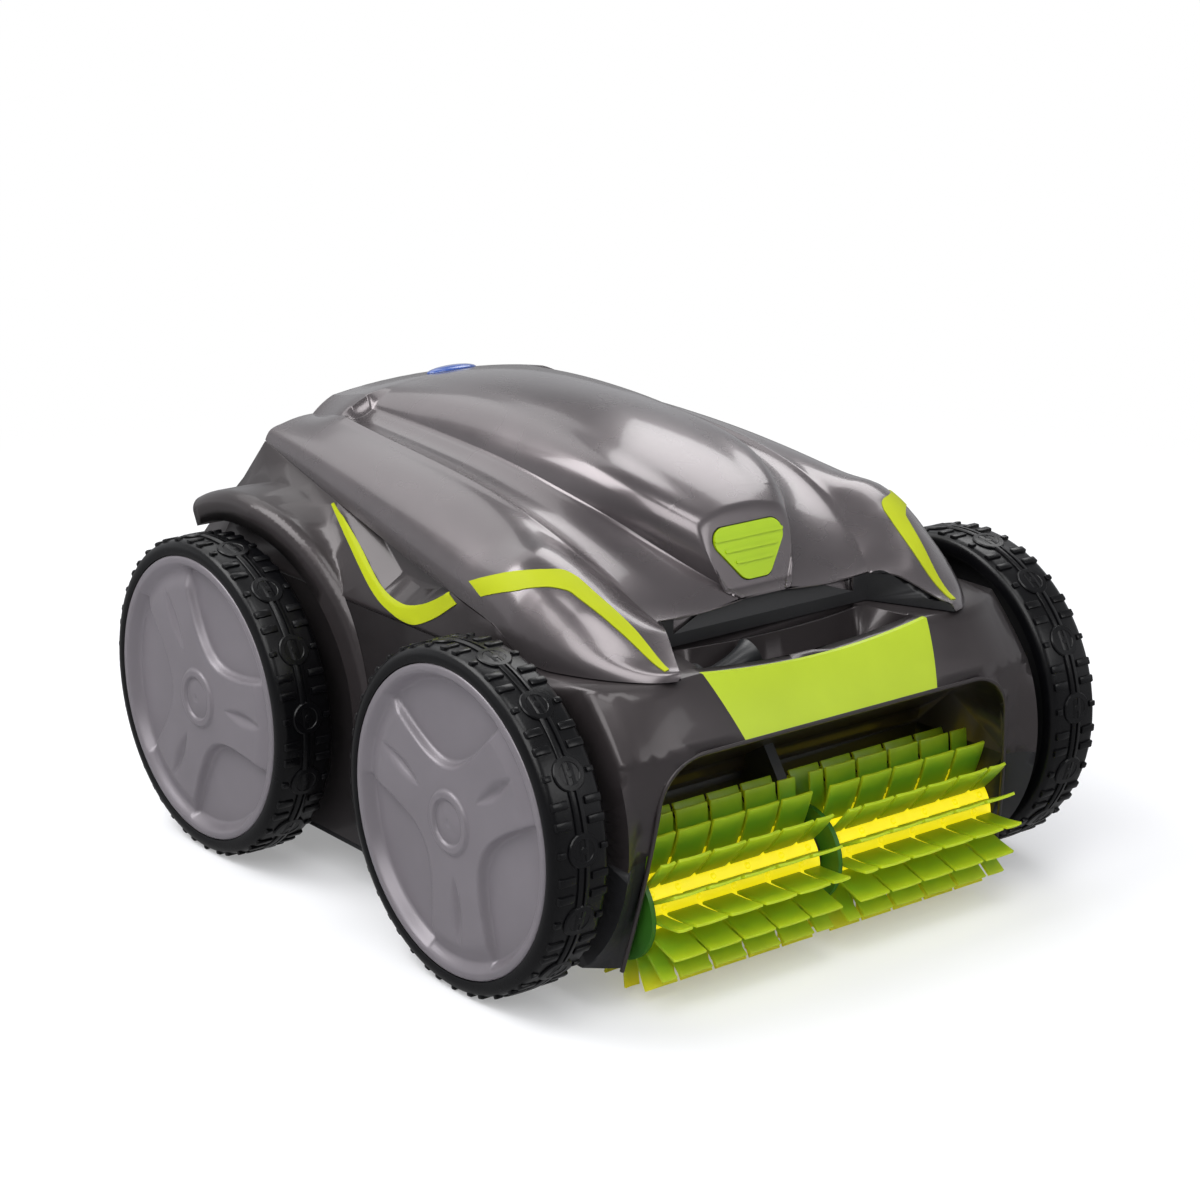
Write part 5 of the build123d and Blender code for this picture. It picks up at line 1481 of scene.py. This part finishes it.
@dataclass
class Skins:
    """Merged copies of the moulded shells, so that light runs over their faces without breaks."""

    bodies: dict[str, str] = field(
        default_factory=lambda: {"hood": "hood", "upper_shell": "machine", "chassis": "machine"}
    )
    crease: float = 38.0
    # Faces of the hood this near to its skin, and turned alike, lie under it
    under: float = 3.2
    alike: float = 0.6
    # The gap over the handle, whose faces are painted black as shade: faces turned to the front, ahead of a
    # place and below a height
    painted_shade_normal: float = -0.85
    painted_shade_y: float = -138.0
    painted_shade_top: float = 215.0
    # Cheeks beside the brush opening: distances from the middle, ahead of a place and below a height
    cheek_x: Flat = (104.0, 147.0)
    cheek_y: float = -165.0
    cheek_top: float = 178.0

    def is_painted_shade_gap(self, face: bpy.types.MeshPolygon) -> bool:
        """Tell whether a face of the hood lies in the gap over the handle, which is painted black as shade.
        """
        ahead = face.normal.y < self.painted_shade_normal and face.center.y < self.painted_shade_y * MM
        return (ahead or face.center.y < NOTCH_Y * MM) and face.center.z < self.painted_shade_top * MM

    def is_cheek(self, place: Vector) -> bool:
        """Tell whether a place lies on the rounded cheeks beside the brush opening."""
        x, y, z = (c / MM for c in place)
        return self.cheek_x[0] < abs(x) < self.cheek_x[1] and y < self.cheek_y and z < self.cheek_top

    def bare(self, twin: Piece, guide: Piece) -> None:
        """Take away the faces that lie just under the hood's skin.

        Args:
            twin: Merged copy of the hood.
            guide: Open face of the hood's skin.
        """
        tree = BVHTree.FromPolygons(
            [vertex.co.copy() for vertex in guide.data.vertices],
            [tuple(face.vertices) for face in guide.data.polygons],
        )
        with editing(twin):
            bpy.ops.mesh.select_mode(type="FACE")
            bpy.ops.mesh.select_all(action="DESELECT")
        for face in twin.data.polygons:
            _, normal, _, distance = tree.find_nearest(face.center)
            face.select = distance < self.under * MM and face.normal.dot(normal) > self.alike
        bpy.ops.object.mode_set(mode="EDIT")
        bpy.ops.mesh.delete(type="FACE")
        bpy.ops.mesh.select_mode(type="VERT")
        bpy.ops.object.mode_set(mode="OBJECT")

    def fit(self, machine: Machine, guide: Piece) -> None:
        """Replace each shell by its merged copy.

        Args:
            machine: The solids and their finishes.
            guide: Open face of the hood's skin.
        """
        for name, body in self.bodies.items():
            twin = copied(machine.nodes[name])
            twin.name = f"smooth_{name}"
            clean(twin, 1e-6)
            if name == "hood":
                self.bare(twin, guide)
                # Faces in the gap over the handle take the black finish: painted shade
                twin.data.materials.append(machine.finish("chassis"))
                for face in twin.data.polygons:
                    face.material_index = int(self.is_painted_shade_gap(face))
            smooth(twin, self.crease)
            flat = [v.index for v in twin.data.vertices if not self.is_cheek(v.co)]
            twin.vertex_groups.new(name="flat").add(flat, 1.0, "REPLACE")
            apply_modifier(twin, "WEIGHTED_NORMAL", keep_sharp=True, vertex_group="flat")
            mount(twin, None, body, machine.slots[name], name)


@dataclass
class LatchSpring:
    """Wound steel coil behind the button, which shortens as the button goes in."""

    seat: float = 24.0
    length: float = 16.0
    travel: float = 4.0

    def fit(self, machine: Machine) -> None:
        """Replace the coil by a merged copy with a mesh of its own.

        Args:
            machine: The solids and their finishes.
        """
        spring = copied(machine.nodes["latch_spring"])
        spring.name = "wound_latch_spring"
        clean(spring, 1e-6)
        smooth(spring, 70)
        mount(spring, None, "hood", machine.slots["latch_spring"], "latch_spring")
        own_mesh(spring)


@dataclass
class Badge:
    """Domed oval plate let into the top of the hood."""

    place: Point = (0.0, 147.0, 268.6)
    half_sizes: Point = (18.0, 8.5, 3.4)
    tilt: float = -11.4
    # Level of the flat cut, as a share of the half height
    cut: float = -0.2

    def fit(self, material: Material) -> None:
        """Model the plate from a flattened ball, cut flat below.

        Args:
            material: Finish of the plate.
        """
        plate = new_piece(
            "domed_badge", bpy.ops.mesh.primitive_uv_sphere_add, segments=48, ring_count=24, radius=1.0
        )
        with editing(plate):
            bpy.ops.mesh.bisect(
                plane_co=(0, 0, self.cut), plane_no=(0, 0, 1), use_fill=True, clear_inner=True
            )
        plate.data.transform(Matrix.Diagonal((*[s * MM for s in self.half_sizes], 1.0)))
        plate.data.transform(Matrix.Rotation(math.radians(self.tilt), 4, "X"))
        plate.data.transform(Matrix.Translation(Vector(self.place) * MM))
        clean(plate, 1e-7)
        smooth(plate, 60)
        mount(plate, material, "hood", "badge", "badge")


@dataclass
class ArchLip:
    """Thin rolled lip round the front edge of the brush opening."""

    half_foot: float = 139.4
    half_top: float = 124.0
    foot_z: float = 22.0
    top_z: float = 141.0
    corner: float = 28.0
    bead: float = 1.3
    inset: float = 0.8
    steps: int = 12
    top_steps: int = 8
    # Front of the body, as (height, y)
    front: tuple[Flat, Flat, Flat] = ((20.0, -201.0), (80.5, -213.0), (141.0, -219.0))

    def front_y(self, z: float) -> float:
        """Find the front of the body at a height, on the parabola through three places."""
        (a, ya), (b, yb), (c, yc) = self.front
        return (
            ya * (z - b) * (z - c) / ((a - b) * (a - c))
            + yb * (z - a) * (z - c) / ((b - a) * (b - c))
            + yc * (z - a) * (z - b) / ((c - a) * (c - b))
        )

    def path(self) -> list[Vector]:
        """Read the middle line of the lip over the left leg, corner and half of the top.

        Returns:
            Places in metres, from the left foot to the middle.
        """
        lean = (self.half_foot - self.half_top) / (self.top_z - self.foot_z)
        places = []
        for step in range(self.steps + 1):
            z = self.foot_z + (self.top_z - self.corner - self.foot_z) * step / self.steps
            places.append((-(self.half_foot - lean * (z - self.foot_z)), z))
        middle_x, middle_z = places[-1][0] + self.corner, places[-1][1]
        for step in range(1, self.steps + 1):
            angle = math.pi - math.pi / 2 * step / self.steps
            places.append(
                (middle_x + self.corner * math.cos(angle), middle_z + self.corner * math.sin(angle))
            )
        end = places[-1][0]
        places += [(end * (1 - step / self.top_steps), self.top_z) for step in range(1, self.top_steps + 1)]
        return [Vector((x, self.front_y(z) + self.inset, z)) * MM for x, z in places]

    def fit(self, material: Material) -> None:
        """Sweep the bead along the opening.

        Args:
            material: Finish of the body.
        """
        half = self.path()
        whole = half + [Vector((-p.x, p.y, p.z)) for p in reversed(half[:-1])]
        line = bpy.data.curves.new("arch_lip", "CURVE")
        line.dimensions = "3D"
        line.bevel_depth = self.bead * MM
        line.bevel_resolution = 3
        line.use_fill_caps = True
        spline = line.splines.new("POLY")
        spline.points.add(len(whole) - 1)
        for point, place in zip(spline.points, whole):
            point.co = (*place, 1.0)
        piece = bpy.data.objects.new("rolled_arch_lip", line)
        bpy.context.scene.collection.objects.link(piece)
        pick_only(piece)
        bpy.ops.object.convert(target="MESH")
        piece = bpy.context.object
        piece.name = "rolled_arch_lip"
        clean(piece, 1e-6)
        smooth(piece, 60)
        mount(piece, material, "machine", "shell")


@dataclass(frozen=True)
class SoftBox:
    """Soft lamp: its place, its two sides and the point that it faces in metres, and its power in watts."""

    name: str
    place: Point
    size: Flat
    power: float
    aim: Point = (0.0, 0.0, 0.2)

    def hang(self) -> None:
        """Add the lamp to the scene."""
        data = bpy.data.lights.new(self.name, "AREA")
        data.shape = "RECTANGLE"
        data.size, data.size_y = self.size
        data.energy = self.power
        lamp = bpy.data.objects.new(self.name, data)
        bpy.context.scene.collection.objects.link(lamp)
        lamp.location = self.place
        lamp.rotation_euler = (Vector(self.aim) - Vector(self.place)).to_track_quat("-Z", "Y").to_euler()


@dataclass
class Studio:
    """Pale floor, soft lamps and the camera at the photograph's place, in metres and degrees."""

    camera_at: Point = (-1.0401, -1.3342, 0.6693)
    azimuth: float = 38.01
    elevation: float = 16.94
    lens: float = 88.84
    floor_size: float = 24.0
    # Distances between which the floor fades to white
    fade: Flat = (0.4, 1.2)
    boxes: tuple[SoftBox, ...] = (
        SoftBox("left_box", (-1.3, -0.9, 1.6), (1.4, 1.3), 21.0, (0.0, 0.0, 0.15)),
        SoftBox("back_left_box", (-1.1, 0.7, 1.75), (1.2, 1.1), 24.0),
        SoftBox("back_box", (0.0, 1.5, 1.8), (1.8, 1.4), 10.0),
        SoftBox("right_box", (1.3, 0.8, 1.7), (0.9, 0.9), 9.0),
        SoftBox("front_box", (0.6, -1.9, 1.2), (1.2, 0.8), 8.0, (0.0, -0.1, 0.1)),
        SoftBox("top_box", (-0.1, -0.6, 2.0), (0.7, 0.7), 7.0),
    )

    def camera(self) -> None:
        """Set up the camera."""
        data = bpy.data.cameras.new("camera")
        data.sensor_width = 36.0
        data.lens = self.lens
        data.clip_end = 50.0
        camera = bpy.data.objects.new("camera", data)
        bpy.context.scene.collection.objects.link(camera)
        camera.location = self.camera_at
        camera.rotation_euler = (math.radians(90 - self.elevation), 0.0, -math.radians(self.azimuth))
        bpy.context.scene.camera = camera

    def backdrop(self) -> None:
        """Lay the floor."""
        floor = new_piece("studio_floor", bpy.ops.mesh.primitive_plane_add, size=self.floor_size)
        made, add, place = new_material("pale_studio_floor")
        cloud = add("TexNoise", {"Vector": place, "Scale": per_metre(900), "Detail": 2.0})
        tone = add("ValToRGB", {"Fac": cloud}, ((0.0, linear("#EFF0F3")), (1.0, linear("#F8F8FA"))))
        paper = add("BsdfDiffuse", {"Color": tone})
        white = add("Emission", {"Color": WHITE, "Strength": 1.0})
        # The paper fades to pure white away from the machine, so that no horizon shows
        away = add("VectorMath", {0: place}, operation="LENGTH").outputs["Value"]
        near, far = self.fade
        fade = add(
            "MapRange",
            {"Value": away, "From Min": near, "From Max": far, "To Min": 0.3, "To Max": 1.0},
            interpolation_type="SMOOTHSTEP",
        )
        path = add("LightPath").outputs
        part = add("Math", {0: path["Is Camera Ray"], 1: fade}, operation="MULTIPLY")
        faded = add("MixShader", {0: part, 1: paper, 2: white})
        # Mirrored in the machine, the floor is a calm grey
        grey = add("Emission", {"Color": linear("#F0F0F2"), "Strength": 0.3})
        mixed = add("MixShader", {0: path["Is Glossy Ray"], 1: faded, 2: grey})
        add("OutputMaterial", {"Surface": mixed})
        dress(floor, made)

    def surroundings(self) -> None:
        """Light the room: white to the camera, and to the lacquer a wall that darkens towards the ceiling."""
        world = bpy.data.worlds.new("studio")
        world.use_nodes = True
        world.node_tree.nodes.clear()
        add = partial(add_node, world.node_tree)
        path = add("LightPath").outputs
        rays = {0: path["Is Camera Ray"], 1: path["Is Transmission Ray"]}
        seen = add("Math", rays, operation="MAXIMUM")
        look = add("TexCoord").outputs["Generated"]
        height = add("SeparateXYZ", {"Vector": look}).outputs["Z"]
        wall = add(
            "MapRange",
            {"Value": height, "From Min": 0.25, "From Max": 0.6, "To Min": 0.62, "To Max": 0.25},
            interpolation_type="SMOOTHSTEP",
        )
        # The front of the room is dark, as it is behind a photographer
        ahead = add("VectorMath", {0: look, 1: (0.59, 0.75, 0.3)}, operation="DOT_PRODUCT").outputs["Value"]
        dim = add(
            "MapRange",
            {"Value": ahead, "From Min": -0.6, "From Max": 0.1, "To Min": 0.2, "To Max": 1.0},
            interpolation_type="SMOOTHSTEP",
        )
        level = add("Math", {0: wall, 1: dim}, operation="MULTIPLY")
        room = add("Background", {"Color": linear("#EEF0F4"), "Strength": 0.5})
        mirrored = add("Background", {"Color": linear("#F4F5F8"), "Strength": level})
        white = add("Background", {"Color": WHITE, "Strength": 1.0})
        lit = add("MixShader", {0: path["Is Glossy Ray"], 1: room, 2: mirrored})
        mixed = add("MixShader", {0: seen, 1: lit, 2: white})
        add("OutputWorld", {"Surface": mixed})
        bpy.context.scene.world = world

    def build(self) -> None:
        """Set up the whole studio."""
        self.camera()
        self.backdrop()
        self.surroundings()
        for box in self.boxes:
            box.hang()
        bpy.context.scene.view_settings.view_transform = "Standard"
        log.info("studio with %d lamps", len(self.boxes))


def main() -> None:
    """Dress the machine and set up its studio."""
    logging.basicConfig(level=logging.INFO, format="%(name)s %(message)s")
    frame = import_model()
    bpy.ops.object.select_all(action="DESELECT")
    slots = {part["node"]: part["material_slot"] for part in frame["record"]["subparts"]}
    machine = Machine(frame["nodes"], slots)
    machine.dress_solids()
    Studio().build()
    Tyre().fit(machine.finish("tyre"))
    Hubcap().fit(machine.finish("hubcap"))
    BrushPaddles().fit(machine.finish("fins"), machine.finish("core"))
    guide = HoodSkin().fit(machine.finish("hood"))
    Stripes().fit({**frame["nodes"], "hood": guide}, machine.finish("stripe"))
    ArchLip().fit(machine.finish("shell"))
    Skins().fit(machine, guide)
    bpy.data.objects.remove(guide)
    Badge().fit(machine.finish("badge"))
    LatchSpring().fit(machine)


if __name__ == "__main__":
    main()
